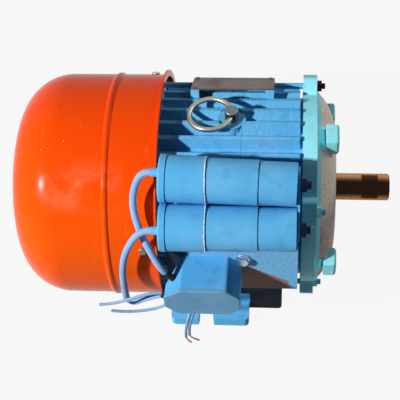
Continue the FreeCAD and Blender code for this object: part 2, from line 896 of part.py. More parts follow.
def inlet_holes():
    """Round holes in offset rows over the end of the cover."""
    start = rim_x - cover_straight - 2 * cover_corner_r
    row_step = inlet_pitch * math.sin(math.radians(60))
    rows = int(inlet_r / row_step)
    holes = []
    for row in range(-rows, rows + 1):
        for column in range(-2 * rows, 2 * rows + 1):
            y = (column + row / 2) * inlet_pitch
            z = row * row_step
            if math.hypot(y, z) < inlet_r:
                place = V(start, y, z)
                holes.append(Part.makeCylinder(inlet_hole_r, 2 * cover_corner_r, place, ALONG_X))
    return holes


def cover_screw_holes():
    top = V(cover_screw_x, 0, cover_r + end_room)
    hole = screw_hole(cover_screw_r, cover_screw_length + end_room, top, ALONG_Z * -1)
    return [rolled(hole, turn) for turn in cover_screw_turns]


def cover_screws():
    """Round headed screws through the cover into the fan end shield."""
    seat = V(cover_screw_x, 0, cover_r)
    stem = Part.makeCylinder(cover_screw_r, cover_screw_length, seat, ALONG_Z * -1)
    head = Part.makeCylinder(cover_screw_head_r, cover_screw_head, seat, ALONG_Z)
    crown = [edge for edge in head.Edges if edge.BoundBox.ZMin > cover_r + cover_screw_head - touch]
    screw = head.makeFillet(cover_screw_crown_r, crown).fuse(stem).removeSplitter()
    return group([rolled(screw, turn) for turn in cover_screw_turns])


def nameplate():
    half = plate_width / 2
    top = plate_seat + plate_sheet
    plate = block(plate_rear, plate_rear + plate_length, -half, half, plate_seat, top)
    corners = [edge for edge in plate.Edges if edge.BoundBox.ZLength > touch]
    plate = plate.makeFillet(plate_corner_r, corners)
    holes = []
    for x, y in rivet_places:
        place = V(x, y, plate_seat - plate_sheet)
        holes.append(Part.makeCylinder(rivet_r + fit, 3 * plate_sheet, place, ALONG_Z))
    return rolled(plate.cut(holes), plate_turn)


def nameplate_rivets():
    rivets = []
    top = plate_seat + plate_sheet
    for x, y in rivet_places:
        head = Part.makeCone(rivet_head_r, rivet_crown_r, rivet_head, V(x, y, top), ALONG_Z)
        stem = Part.makeCylinder(rivet_r, rivet_depth, V(x, y, top - rivet_depth), ALONG_Z)
        rivets.append(rolled(head.fuse(stem).removeSplitter(), plate_turn))
    return group(rivets)


def eye_bolt():
    """Upright post with a cross hole for the ring, screwed into its boss."""
    base = V(eye_x, 0, eye_boss_top)
    post = Part.makeCylinder(eye_post_r, eye_post, base, ALONG_Z)
    top = [edge for edge in post.Edges if edge.BoundBox.ZMin > eye_boss_top + eye_post - touch]
    post = post.makeFillet(eye_post_edge_r, top)
    shank = Part.makeCylinder(eye_shank_r, eye_shank, base, ALONG_Z * -1)
    hole = Part.makeCylinder(eye_hole_r, 4 * eye_post_r, V(eye_x, -2 * eye_post_r, eye_z), ALONG_Y)
    return post.fuse(shank).removeSplitter().cut(hole)


def ring_tilt():
    """How far the ring lies down, resting on the fins toward the fan end."""
    drop = eye_z - fin_r - ring_wire_r - gap
    return math.asin(drop / (2 * ring_mean_r))


def lifting_ring():
    tilt = ring_tilt()
    way = V(math.cos(tilt), 0, math.sin(tilt))
    centre = V(eye_x, 0, eye_z) - way * ring_mean_r
    return Part.makeTorus(ring_mean_r, ring_wire_r, centre, V(-way.z, 0, way.x))


def box_section(out):
    """The eight-sided outline of the terminal box, seen from the terminal side."""
    rear_top = V(box_rear, -out, box_top)
    front_top = V(box_front, -out, box_top)
    front_low = V(box_front, -out, box_bottom)
    rear_low = V(box_rear, -out, box_bottom)
    corners = [rear_top + V(rear_top_chamfer.x, 0, 0), front_top - V(front_top_chamfer.x, 0, 0)]
    corners += [front_top - V(0, 0, front_top_chamfer.z), front_low + V(0, 0, front_low_chamfer.z)]
    corners += [front_low - V(front_low_chamfer.x, 0, 0), rear_low + V(rear_low_chamfer.x, 0, 0)]
    corners += [rear_low + V(0, 0, rear_low_chamfer.z), rear_top - V(0, 0, rear_top_chamfer.z)]
    return rounded_loop(corners, box_corner_r)


def box_plan(reach):
    corners = [(box_rear + box_flare, pad_out), (box_rear, pad_out + box_flare_out), (box_rear, reach)]
    corners += [(box_front, reach), (box_front, pad_out)]
    points = [V(x, -out, box_bottom - end_room) for x, out in corners]
    return Part.makePolygon(points + [points[0]])


def box_volume(inset, reach):
    tall = V(0, 0, box_top - box_bottom + 2 * end_room)
    deep = V(0, -(reach - pad_out), 0)
    plan = box_plan(reach)
    section = box_section(pad_out)
    if inset:
        plan = plan.makeOffset2D(-inset)
        section = section.makeOffset2D(-inset)
    return Part.Face(plan).extrude(tall).common(Part.Face(section).extrude(deep))


def lid_post_rounds(out, length, whole):
    """Rounds about the lid screws, kept inside the whole."""
    rounds = []
    for x, z in lid_screw_places:
        post = Part.makeCylinder(lid_screw_r + lid_post_wall, length, V(x, -out, z), ALONG_Y)
        rounds.append(post.common(whole))
    return rounds


def terminal_box():
    whole = box_volume(0, box_out)
    cavity = box_volume(box_wall, box_out + 2 * box_wall)
    body = fused([whole.cut(cavity)] + lid_post_rounds(box_out, lid_post, whole))
    floor = -pad_out - 2 * box_wall
    window = V(lead_window_x, floor, lead_window_z)
    cuts = [Part.makeCylinder(lead_window_r, 3 * box_wall, window, ALONG_Y)]
    for x, z in box_screw_places:
        hole = Part.makeCylinder(box_screw_r + thread_fit, 3 * box_wall, V(x, floor, z), ALONG_Y)
        cuts.append(hole)
    for x, z in lid_screw_places:
        cuts.append(screw_hole(lid_screw_r, lid_screw_depth - end_room, V(x, -box_out, z), ALONG_Y))
    for point, direction, radius, reach in grommet_places:
        start = point - direction * 2 * box_wall
        cuts.append(Part.makeCylinder(radius + fit, 3 * box_wall, start, direction))
    return body.cut(cuts)


def box_gasket():
    section = box_section(box_out + gasket)
    inner = Part.Face(section.makeOffset2D(gasket_inset - box_wall))
    body = Part.Face(section).cut(inner).extrude(V(0, gasket, 0))
    whole = Part.Face(section).extrude(V(0, gasket, 0))
    holes = []
    for x, z in lid_screw_places:
        place = V(x, -box_out - 2 * gasket, z)
        holes.append(Part.makeCylinder(lid_screw_r + fit, 3 * gasket, place, ALONG_Y))
    return fused([body] + lid_post_rounds(box_out + gasket, gasket, whole)).cut(holes)


def box_lid():
    front = -box_out - gasket - lid
    face = Part.Face(box_section(box_out + gasket).makeOffset2D(lid_overhang))
    body = face.extrude(V(0, -lid, 0))
    outline = [edge for edge in body.Edges if edge.BoundBox.YMax < front + touch]
    body = body.makeFillet(lid_edge_r, outline)
    cuts = []
    for x, z in lid_screw_places:
        place = V(x, front, z)
        cuts.append(Part.makeCylinder(lid_screw_r + fit, 2 * lid, place, ALONG_Y))
        sink_r = lid_screw_head_r + fit
        cuts.append(Part.makeCone(sink_r, lid_screw_r + fit, lid_screw_head, place, ALONG_Y))
    return body.cut(cuts)


def lid_screws():
    """Slotted screws whose heads lie flush with the face of the lid."""
    front = -box_out - gasket - lid
    length = lid + gasket + lid_screw_depth - 2 * end_room
    half = lid_screw_slot / 2
    screws = []
    for x, z in lid_screw_places:
        place = V(x, front, z)
        stem = Part.makeCylinder(lid_screw_r, length, place, ALONG_Y)
        head = Part.makeCone(lid_screw_head_r, lid_screw_r, lid_screw_head, place, ALONG_Y)
        start = x - lid_screw_head_r
        end = x + lid_screw_head_r
        drive = block(start, end, front - end_room, front + half, z - half, z + half)
        screws.append(stem.fuse(head).removeSplitter().cut(drive))
    return group(screws)


def box_screws():
    screws = []
    for x, z in box_screw_places:
        seat = V(x, -pad_out - box_wall, z)
        screw = bolt(box_screw_r, box_screw_depth, box_screw_flats, box_screw_head, seat, ALONG_Y * -1)
        screws.append(screw)
    return group(screws)


def terminal_board():
    face = -board_out - board_sheet
    plate = block(board_rear, board_front, face, -board_out, board_bottom, board_top)
    pillars = []
    length = board_out - pad_out - box_wall
    for x, z in pillar_places:
        pillars.append(Part.makeCylinder(pillar_r, length, V(x, -board_out, z), ALONG_Y))
    holes = []
    for x, z in terminal_places:
        place = V(x, face - board_sheet, z)
        holes.append(Part.makeCylinder(terminal_r + thread_fit, 3 * board_sheet, place, ALONG_Y))
    return fused([plate] + pillars).cut(holes)


def terminal_studs():
    pieces = []
    for x, z in terminal_places:
        tip = V(x, -board_out - terminal_length, z)
        pieces.append(Part.makeCylinder(terminal_r, terminal_length, tip, ALONG_Y))
        face = V(x, -board_out - board_sheet, z)
        nut = hexagon(terminal_nut_flats, terminal_nut, face, ALONG_Y * -1)
        start = face + ALONG_Y * terminal_nut
        bore = Part.makeCylinder(terminal_r + thread_fit, 3 * terminal_nut, start, ALONG_Y * -1)
        pieces.append(nut.cut(bore))
    return group(pieces)


def grommets():
    plugs = []
    for point, direction, radius, reach in grommet_places:
        plugs.append(Part.makeCylinder(radius, reach + box_wall, point - direction * box_wall, direction))
    return group(plugs)


def earth_bolt():
    seat = V(earth_x, -pad_out - earth_washer, earth_z)
    return bolt(earth_r, earth_depth, earth_flats, earth_head, seat, ALONG_Y * -1)


def earth_washer_ring():
    face = V(earth_x, -pad_out, earth_z)
    start = face + ALONG_Y * earth_washer
    disc = Part.makeCylinder(earth_washer_r, earth_washer, face, ALONG_Y * -1)
    return disc.cut(Part.makeCylinder(earth_r + thread_fit, 3 * earth_washer, start, ALONG_Y * -1))


def capacitor_bracket():
    half = bracket_half_width
    top = bracket_seat + bracket_sheet
    plate = block(bracket_rear, bracket_front, -half, half, bracket_seat, top)
    end_top = bracket_seat + bracket_end_height
    front = bracket_front + bracket_sheet
    end = block(bracket_front, front, -half, half, bracket_seat, end_top)
    upper = [edge for edge in end.Edges if edge.BoundBox.ZMin > end_top - touch]
    end = end.makeFillet(bracket_corner_r, [edge for edge in upper if edge.BoundBox.XLength > touch])
    cuts = []
    for x in bracket_boss_x:
        place = V(x, bracket_screw_offset, bracket_seat - bracket_sheet)
        hole = Part.makeCylinder(bracket_screw_r + thread_fit, 3 * bracket_sheet, place, ALONG_Z)
        cuts.append(hole)
    start = bracket_front - bracket_sheet
    for side in (-1, 1):
        place = V(start, capacitor_offset(side, bracket_front), capacitor_out)
        cuts.append(Part.makeCylinder(stud_r + gap, 3 * bracket_sheet, place, ALONG_X))
    return rolled(plate.fuse(end).removeSplitter().cut(cuts), capacitor_turn)


def bracket_screws():
    screws = []
    size = (bracket_screw_r, bracket_screw_depth, bracket_screw_flats, bracket_screw_head)
    for x in bracket_boss_x:
        seat = V(x, bracket_screw_offset, bracket_seat + bracket_sheet)
        screws.append(rolled(bolt(*size, seat, ALONG_Z), capacitor_turn))
    return group(screws)


def capacitor_lean(side):
    return upper_lean if side > 0 else 0


def capacitor_start(side):
    """Distance of a capacitor's axis from the middle of the bracket at the end of its gland."""
    return upper_capacitor_offset if side > 0 else lower_capacitor_offset


def gland_offset(side):
    return upper_gland_offset if side > 0 else lower_gland_offset


def capacitor_offset(side, x):
    run = x - capacitor_rear + gland_length
    return capacitor_start(side) - run * math.tan(math.radians(capacitor_lean(side)))


def capacitor_place(shape, side):
    moved = shape.copy()
    moved.rotate(V(capacitor_rear - gland_length, 0, 0), ALONG_Z, -capacitor_lean(side))
    moved.translate(V(0, capacitor_start(side), capacitor_out))
    return rolled(moved, capacitor_turn)


def capacitor_can(side):
    front = capacitor_front - can_setback
    can = cylinder_x(can_r, capacitor_rear + can_setback, front)
    stud = cylinder_x(stud_r, front, capacitor_front + stud_reach)
    return capacitor_place(can.fuse(stud).removeSplitter(), side)


def capacitor_sleeve(side):
    """Three lengths of sleeve with a narrow seam between them, the last one closed at the drive end."""
    rear = capacitor_rear + capacitor_cap + seam
    half = seam / 2
    bore = can_r + fit
    parts = [ring_x(capacitor_rear_r, bore, rear, rear_seam_x - half)]
    parts.append(ring_x(capacitor_middle_r, bore, rear_seam_x + half, front_seam_x - half))
    closed = ring_x(capacitor_front_r, bore, front_seam_x + half, capacitor_front)
    inside = capacitor_front - can_setback + fit
    end = ring_x(capacitor_front_r, stud_r + fit, inside, capacitor_front)
    parts.append(closed.fuse(end).removeSplitter())
    return group([capacitor_place(part, side) for part in parts])


def capacitor_end_cap(side):
    mouth = capacitor_rear + capacitor_cap
    cup = cylinder_x(capacitor_cap_r, capacitor_rear, mouth)
    rim = [edge for edge in cup.Edges if edge.BoundBox.XMax < capacitor_rear + touch]
    cup = cup.makeFillet(capacitor_cap_edge_r, rim)
    cup = cup.cut(cylinder_x(can_r + fit, capacitor_rear + can_setback, mouth + end_room))
    gland = cylinder_x(gland_r, capacitor_rear - gland_length, capacitor_rear)
    gland.translate(V(0, gland_offset(side), 0))
    return capacitor_place(cup.fuse(gland).removeSplitter(), side)


def capacitor_nuts():
    nuts = []
    start = bracket_front + bracket_sheet + gap
    end = start + capacitor_nut
    for side in (-1, 1):
        nut = hexagon(capacitor_nut_flats, capacitor_nut, V(start, 0, 0), ALONG_X)
        nut = nut.cut(cylinder_x(stud_r + thread_fit, start - end_room, end + end_room))
        nuts.append(capacitor_place(nut, side))
    return group(nuts)


def slot_section(clearance):
    half_in = slot_inner_width / 2 - clearance
    half_out = slot_outer_width / 2 - clearance
    low = slot_inner_r + clearance
    high = slot_outer_r - clearance
    return [(-half_in, low), (half_in, low), (half_out, high), (-half_out, high)]


def slot_turns():
    return [i * 360 / slot_count for i in range(slot_count)]


def stator_core():
    core = ring_x(bore_r - fit, rotor_r + air_gap, stack_rear, stack_front)
    slot = prism_x(slot_section(0), stack_rear, stack_front)
    half = slot_mouth / 2
    low = rotor_r - end_room
    mouth = block(stack_rear, stack_front, -half, half, low, slot_inner_r + end_room)
    slot = slot.fuse(mouth).removeSplitter()
    return core.cut([rolled(slot, turn) for turn in slot_turns()])


def slot_windings():
    bar = prism_x(slot_section(fit), stack_rear, stack_front)
    return group([rolled(bar, turn) for turn in slot_turns()])


def end_winding(start, end):
    corners = [V(start, 0, coil_inner_r), V(start, 0, coil_outer_r)]
    corners += [V(end, 0, coil_outer_r), V(end, 0, coil_inner_r)]
    return Part.Face(rounded_loop(corners, coil_round)).revolve(ORIGIN, ALONG_X, 360)


def shaft():
    rotor_end = ring_front + rotor_seat_past
    rotor_start = stack_rear - end_room
    chamfer_x = shaft_reach - shaft_chamfer
    step_x = hub_rear - end_room
    bore_r = drive_bearing_bore_r
    profile = [(shaft_reach, 0), (shaft_reach, shaft_r - shaft_chamfer), (chamfer_x, shaft_r)]
    profile += [(0, shaft_r), (0, bore_r), (drive_bearing_rear, bore_r)]
    profile += [(drive_bearing_rear, rotor_shoulder_r), (rotor_end, rotor_shoulder_r)]
    profile += [(rotor_end, rotor_seat_r), (rotor_start, rotor_seat_r), (rotor_start, bore_r)]
    profile += [(fan_bearing_front, bore_r), (fan_bearing_front, fan_bearing_bore_r)]
    profile += [(step_x, fan_bearing_bore_r), (step_x, fan_seat_r)]
    profile += [(shaft_rear + fan_end_chamfer, fan_seat_r)]
    profile += [(shaft_rear, fan_seat_r - fan_end_chamfer), (shaft_rear, 0)]
    return turned(profile).cut(rolled(keyway(), key_turn))


def keyway():
    """Round ended slot for a loose key."""
    height = key_depth + shaft_r
    start = key_setback
    half = key_width / 2
    low = shaft_r - key_depth
    bar = block(start + half, start + key_length - half, -half, half, low, low + height)
    ends = [Part.makeCylinder(half, height, V(start + half, 0, low), ALONG_Z)]
    ends.append(Part.makeCylinder(half, height, V(start + key_length - half, 0, low), ALONG_Z))
    return fused([bar] + ends)


def rotor_core():
    return ring_x(rotor_r, rotor_seat_r + fit, stack_rear, stack_front)


def rotor_end_rings():
    rear = ring_x(end_ring_outer_r, end_ring_inner_r, ring_rear, stack_rear)
    front = ring_x(end_ring_outer_r, end_ring_inner_r, stack_front, ring_front)
    return group([rear, front])


def cooling_fan():
    disc_front = hub_rear - fan_from_shield
    disc = ring_x(fan_r, fan_seat_r + fit, disc_front - fan_disc, disc_front)
    hub = ring_x(fan_hub_r, fan_seat_r + fit, disc_front - fan_hub_length, disc_front)
    tip = disc_front - fan_width
    root_r = fan_hub_r - blade_root
    hub_end_x = disc_front - fan_hub_length
    outline = [(disc_front, root_r), (disc_front, fan_r), (tip + blade_tip_slope, fan_r)]
    outline += [(tip, fan_r - blade_tip_depth), (tip, fan_hub_r + blade_eye), (hub_end_x, root_r)]
    corners = [V(x, -fan_blade / 2, r) for x, r in outline]
    blade = Part.Face(Part.makePolygon(corners + [corners[0]])).extrude(V(0, fan_blade, 0))
    blades = [rolled(blade, i * 360 / fan_blade_count) for i in range(fan_blade_count)]
    return fused([disc, hub] + blades)


def fan_clip():
    front = hub_rear - fan_from_shield - fan_hub_length
    return ring_x(fan_seat_r + fan_clip_wall, fan_seat_r + fit, front - fan_clip_width, front)


def bearing_outer(bore, outer, ball_r, start, end):
    pitch = (bore + outer) / 2
    groove = Part.makeTorus(pitch, ball_r + ball_fit, V((start + end) / 2, 0, 0), ALONG_X)
    return ring_x(outer, pitch + race_share * ball_r, start, end).cut(groove)


def bearing_inner(bore, outer, ball_r, start, end):
    pitch = (bore + outer) / 2
    groove = Part.makeTorus(pitch, ball_r + ball_fit, V((start + end) / 2, 0, 0), ALONG_X)
    return ring_x(pitch - race_share * ball_r, bore + fit, start, end).cut(groove)


def bearing_balls(bore, outer, ball_r, count, start, end):
    """The balls with the cage that spaces them."""
    pitch = (bore + outer) / 2
    middle = (start + end) / 2
    half = ball_r + cage_margin
    wall = cage_share * ball_r
    cage = ring_x(pitch + wall, pitch - wall, middle - half, middle + half)
    ball = Part.makeSphere(ball_r, V(middle, 0, pitch))
    pocket = Part.makeSphere(ball_r + ball_fit, V(middle, 0, pitch))
    turns = [i * 360 / count for i in range(count)]
    cage = cage.cut([rolled(pocket, turn) for turn in turns])
    return group([rolled(ball, turn) for turn in turns] + [cage])


def shaft_seal():
    front = -shaft_chamfer - seal_recess
    return ring_x(seal_r, drive_bearing_bore_r + running_fit, front - seal_width, front)


def governor_plate():
    """Disc pressed on the shaft, with a pair of lugs and a pivot pin for each weight."""
    front = ring_rear - governor_from_ring
    disc = ring_x(governor_disc_r, drive_bearing_bore_r + fit, front - governor_disc, front)
    hub = ring_x(governor_hub_r, drive_bearing_bore_r + fit, front - governor_hub_length, front)
    inner = weight_width / 2 + weight_side_gap
    outer = inner + governor_lug
    low = pivot_r - governor_lug_low
    high = pivot_r + governor_lug_high
    lug = block(pivot_x - governor_lug_back, front, inner, outer, low, high)
    pin = Part.makeCylinder(pivot_pin_r, 2 * outer, V(pivot_x, -outer, pivot_r), ALONG_Y)
    pieces = [disc, hub]
    for turn in (0, 180):
        pieces += [rolled(lug, turn), rolled(mirrored(lug), turn), rolled(pin, turn)]
    return fused(pieces)


def flyweight(turn):
    """Weight at rest, its arm swung in toward the shaft. The middle of its swing is square to the shaft."""
    half = weight_width / 2
    arm = block(weight_arm_start, weight_arm_end, -half, half, weight_arm_low, weight_arm_high)
    root = block(-weight_root, weight_root, -half, half, -weight_root, weight_root_high)
    tip = weight_finger / 2
    finger = block(-tip, tip, -half, half, -weight_finger_reach, 0)
    body = fused([arm, root, finger])
    start = V(0, -weight_width, 0)
    body = body.cut(Part.makeCylinder(pivot_pin_r + running_fit, 2 * weight_width, start, ALONG_Y))
    body.translate(V(pivot_x, 0, pivot_r))
    body.rotate(V(pivot_x, 0, pivot_r), ALONG_Y, weight_swing / 2)
    return rolled(body, turn)


def governor_spool():
    """Grooved sleeve at rest, pressed toward the fan end by the weights."""
    bore = drive_bearing_bore_r + running_fit
    rear = pivot_x - spool_groove / 2
    front = pivot_x + spool_groove / 2
    pieces = [ring_x(spool_r, bore, rear - spool_head, rear)]
    pieces.append(ring_x(spool_neck_r, bore, rear, front))
    pieces.append(ring_x(spool_r, bore, front, front + spool_rim))
    spool = fused(pieces)
    spool.translate(V(-spool_travel / 2, 0, 0))
    return spool


def switch_base():
    """Insulating board on the fan end shield with the pivot of the contact arm."""
    rear = fan_wall_front
    front = rear + switch_board
    root = front - switch_lap
    half = switch_board_half
    board = block(rear, front, -half, half, switch_board_low, switch_board_high)
    outer = switch_ear_inner + switch_ear
    low = switch_arm_r - switch_ear_half
    high = switch_arm_r + switch_ear_half
    ear = block(root, arm_x + switch_ear_past, switch_ear_inner, outer, low, high)
    pin = Part.makeCylinder(switch_pin_r, 2 * outer, V(arm_x, -outer, switch_arm_r), ALONG_Y)
    low = switch_arm_r + contact_low
    high = switch_arm_r + contact_high
    contact = block(root, front + contact_proud, -contact_half, contact_half, low, high)
    body = fused([board, ear, mirrored(ear), pin, contact])
    holes = []
    for x, y, z in switch_screw_places:
        place = V(x - switch_board, y, z)
        hole = Part.makeCylinder(switch_screw_r + thread_fit, 3 * switch_board, place, ALONG_X)
        holes.append(hole)
    return body.cut(holes)


def switch_screws():
    screws = []
    length = switch_board + switch_screw_depth
    size = (switch_screw_r, length, switch_screw_flats, switch_screw_head)
    for x, y, z in switch_screw_places:
        screws.append(bolt(*size, V(x + switch_board, y, z), ALONG_X))
    return group(screws)


def contact_arm():
    half = switch_arm / 2
    wide = contact_arm_half
    low = finger_contact_r - contact_arm_past
    strip = block(arm_x - half, arm_x + half, -wide, wide, low, switch_arm_r)
    barrel_r = arm_x - fan_wall_front - switch_board - gap
    barrel = Part.makeCylinder(barrel_r, 2 * wide, V(arm_x, -wide, switch_arm_r), ALONG_Y)
    start = V(arm_x, -2 * wide, switch_arm_r)
    hole = Part.makeCylinder(switch_pin_r + running_fit, 4 * wide, start, ALONG_Y)
    return strip.fuse(barrel).removeSplitter().cut(hole)


def capacitor_exit(side):
    """Middle of the outer end of a capacitor's gland."""
    turn = math.radians(capacitor_lean(side))
    slack = (lead_d / 2 - gland_offset(side)) * math.sin(turn) + fit
    across = capacitor_start(side) + gland_offset(side) * math.cos(turn)
    face = V(capacitor_rear - gland_length - slack, across, capacitor_out)
    return FreeCAD.Rotation(ALONG_X, capacitor_turn).multVec(face)


def sweep_points(start, out, end, into, runs, end_share=end_run):
    """Points along a smooth bend that leaves and arrives along the two given stretches."""
    fine = []
    for i in range(sweep_steps + 1):
        t = i / sweep_steps
        u = 1 - t
        bend = (start + out) * (3 * u * u * t) + (end - into) * (3 * u * t * t)
        fine.append(start * u ** 3 + bend + end * t ** 3)
    walked = [0]
    for first, last in zip(fine, fine[1:]):
        walked.append(walked[-1] + (last - first).Length)
    step = walked[-1] / (runs - 2 + 2 * end_share)
    stops = [(end_share + i) * step for i in range(runs - 1)]
    inner = []
    for stop in stops:
        nearest = min(range(len(fine)), key=lambda k: abs(walked[k] - stop))
        inner.append(fine[nearest])
    return [start] + inner + [end]


def upper_capacitor_lead():
    face = upper_entry + lean * upper_grommet_reach
    start = capacitor_exit(1)
    end = face + lean * upper_lead_end
    bend = sweep_points(start + lead_straight, upper_lead_out, end, upper_lead_in, 6, lead_end_run)
    return bent_tube("upper capacitor lead", [start] + bend + [face], lead_d)


def lower_capacitor_lead():
    start = capacitor_exit(-1)
    first = start + lead_straight
    bend = sweep_points(first, lower_lead_out, lower_sleeve_end, lower_lead_in, 5, lead_end_run)
    return bent_tube("lower capacitor lead", [start] + bend, lead_d)


def lead_tail(side):
    start = lower_sleeve_end + V(0, side * tail_offset, 0) + sleeve_hang * (tail_d / 2 + tail_gap)
    face = side_entry + tail_drop + V(-grommet_reach - tail_gap, side * tail_offset, 0)
    points = sweep_points(start, tail_out, face, tail_in, 5)
    return bent_tube("lead tail", points, tail_d)


def upper_loose_lead():
    face = side_entry + loose_rise - V(grommet_reach + gap, 0, 0)
    points = sweep_points(face, upper_loose_out, upper_loose_tip, upper_loose_in, 5)
    return bent_tube("upper loose lead", points, tail_d)


def lower_loose_lead():
    face = lower_entry + droop * (grommet_reach + gap)
    points = sweep_points(face, lower_loose_out, lower_loose_tip, lower_loose_in, 5)
    return bent_tube("lower loose lead", points, tail_d)


def hanging_lead(index):
    side = 2 * index - 1
    face = floor_entry + V(side * tail_offset, 0, -grommet_reach - gap)
    points = sweep_points(face, hanging_out, hanging_ends[index], hanging_in, 5)
    return bent_tube("hanging lead", points, tail_d)


def bare_end(index, name):
    start = hanging_ends[index] + hang_way * gap
    tip = hanging_ends[index] + bare_tips[index]
    hook = V(bare_tips[index].x / 2, 0, bare_hook)
    return bent_tube(name, sweep_points(start, bare_out, tip, hook, 3), copper_d)


def hanging_copper():
    return group([bare_end(0, "first bare end"), bare_end(1, "second bare end")])


os.makedirs("parts", exist_ok=True)


def save(name, shape):
    valid = shape.isValid()
    print(name, len(shape.Solids), "solids", round(shape.Volume), "mm3", "" if valid else "INVALID")
    shape.exportStep("parts/" + name + ".step")


drive_bearing = (drive_bearing_bore_r, drive_bearing_r, drive_ball_r)
fan_bearing = (fan_bearing_bore_r, fan_bearing_r, fan_ball_r)
save("stator_frame", stator_frame())
save("stator_core", stator_core())
save("slot_windings", slot_windings())
front_coils = end_winding(stack_front, stack_front + coil_reach)
rear_coils = end_winding(stack_rear - coil_reach, stack_rear)
save("end_windings", group([front_coils, rear_coils]))
save("drive_end_shield", drive_end_shield())
save("fan_end_shield", fan_end_shield())
save("tie_rods", tie_rods())
save("tie_rod_nuts", group([tie_nuts(ear_front), tie_nuts(shield_rear - tie_nut_length)]))
save("fan_cover", fan_cover())
save("fan_cover_screws", cover_screws())
save("near_foot", foot())
save("far_foot", mirrored(foot()))
save("foot_bolts", foot_bolts())
save("nameplate", nameplate())
save("nameplate_rivets", nameplate_rivets())
save("eye_bolt", eye_bolt())
save("lifting_ring", lifting_ring())
save("terminal_box", terminal_box())
save("terminal_box_gasket", box_gasket())
save("terminal_box_lid", box_lid())
save("terminal_box_screws", group([lid_screws(), box_screws()]))
save("terminal_board", terminal_board())
save("terminal_studs", terminal_studs())
save("lead_grommets", grommets())
save("earth_bolt", group([earth_bolt(), earth_washer_ring()]))
save("capacitor_bracket", capacitor_bracket())
save("bracket_screws", bracket_screws())
save("capacitor_cans", group([capacitor_can(1), capacitor_can(-1)]))
save("upper_capacitor_sleeve", capacitor_sleeve(1))
save("upper_capacitor_cap", capacitor_end_cap(1))
save("lower_capacitor_sleeve", capacitor_sleeve(-1))
save("lower_capacitor_cap", capacitor_end_cap(-1))
save("capacitor_nuts", capacitor_nuts())
save("drive_bearing_outer", bearing_outer(*drive_bearing, drive_bearing_rear, drive_bearing_front))
save("drive_bearing_inner", bearing_inner(*drive_bearing, drive_bearing_rear, drive_bearing_front))
drive_balls = bearing_balls(*drive_bearing, drive_ball_count, drive_bearing_rear, drive_bearing_front)
save("drive_bearing_balls", drive_balls)
save("fan_bearing_outer", bearing_outer(*fan_bearing, fan_bearing_rear, fan_bearing_front))
save("fan_bearing_inner", bearing_inner(*fan_bearing, fan_bearing_rear, fan_bearing_front))
save("fan_bearing_balls", bearing_balls(*fan_bearing, fan_ball_count, fan_bearing_rear, fan_bearing_front))
save("shaft_seal", shaft_seal())
save("shaft", shaft())
save("rotor_core", rotor_core())
save("rotor_end_rings", rotor_end_rings())
save("cooling_fan", group([cooling_fan(), fan_clip()]))
save("governor_plate", governor_plate())
save("governor_spool", governor_spool())
save("flyweight_one", flyweight(0))
save("flyweight_two", flyweight(180))
save("switch_base", group([switch_base(), switch_screws()]))
save("contact_arm", contact_arm())
save("upper_capacitor_lead", upper_capacitor_lead())
save("lower_capacitor_lead", lower_capacitor_lead())
save("lower_lead_tails", group([lead_tail(-1), lead_tail(1)]))
save("upper_loose_lead", upper_loose_lead())
save("lower_loose_lead", lower_loose_lead())
save("hanging_lead_one", hanging_lead(0))
save("hanging_lead_two", hanging_lead(1))
save("hanging_copper", hanging_copper())
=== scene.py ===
"""Dressed scene of a foot-mounted induction motor.

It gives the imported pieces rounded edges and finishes, lays the leads, and sets up a stage with a camera.
"""
import bpy
import json
import math
from bpy.props import FloatProperty, FloatVectorProperty, PointerProperty
from bpy.types import Operator, Panel, PropertyGroup
from mathutils import Matrix, Vector


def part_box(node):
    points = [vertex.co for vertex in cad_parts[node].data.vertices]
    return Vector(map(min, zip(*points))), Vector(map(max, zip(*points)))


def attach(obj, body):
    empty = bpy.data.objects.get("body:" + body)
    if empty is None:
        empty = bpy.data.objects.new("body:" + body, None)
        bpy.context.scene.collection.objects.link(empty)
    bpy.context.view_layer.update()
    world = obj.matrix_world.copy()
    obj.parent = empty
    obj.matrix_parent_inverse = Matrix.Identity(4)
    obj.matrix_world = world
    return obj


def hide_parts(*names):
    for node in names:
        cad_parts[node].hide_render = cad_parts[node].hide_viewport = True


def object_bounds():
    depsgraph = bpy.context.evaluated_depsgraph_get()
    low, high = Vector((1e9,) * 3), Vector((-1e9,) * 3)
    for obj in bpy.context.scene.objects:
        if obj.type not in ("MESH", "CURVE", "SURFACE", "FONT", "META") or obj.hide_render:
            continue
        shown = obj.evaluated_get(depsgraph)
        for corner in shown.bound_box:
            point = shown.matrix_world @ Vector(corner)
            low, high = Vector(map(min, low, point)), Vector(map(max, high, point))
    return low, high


bl_info = {
    "name": "Induction motor",
    "version": (1, 0, 0),
    "blender": (4, 5, 0),
    "location": "3D View > Sidebar > Motor",
    "description": "Finishes, leads and stage of a foot-mounted induction motor",
    "category": "Object",
}

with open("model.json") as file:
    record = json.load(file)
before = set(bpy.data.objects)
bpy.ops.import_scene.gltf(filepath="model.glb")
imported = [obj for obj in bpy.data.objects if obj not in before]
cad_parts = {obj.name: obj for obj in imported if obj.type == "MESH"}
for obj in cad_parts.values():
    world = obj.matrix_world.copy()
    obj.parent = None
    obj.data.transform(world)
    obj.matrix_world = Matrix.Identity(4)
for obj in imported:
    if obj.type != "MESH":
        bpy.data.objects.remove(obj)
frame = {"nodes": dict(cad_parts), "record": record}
NODES = frame["nodes"]
RECORD = frame["record"]
BODY_OF = {node: body for body, nodes in RECORD["behaviour"]["bodies"].items() for node in nodes}
CAD_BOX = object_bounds()
MM = 0.001


# Shader expressions

# The sockets on which a Mix node takes and gives colours
MIX_FIRST, MIX_SECOND, MIX_RESULT = 6, 7, 2


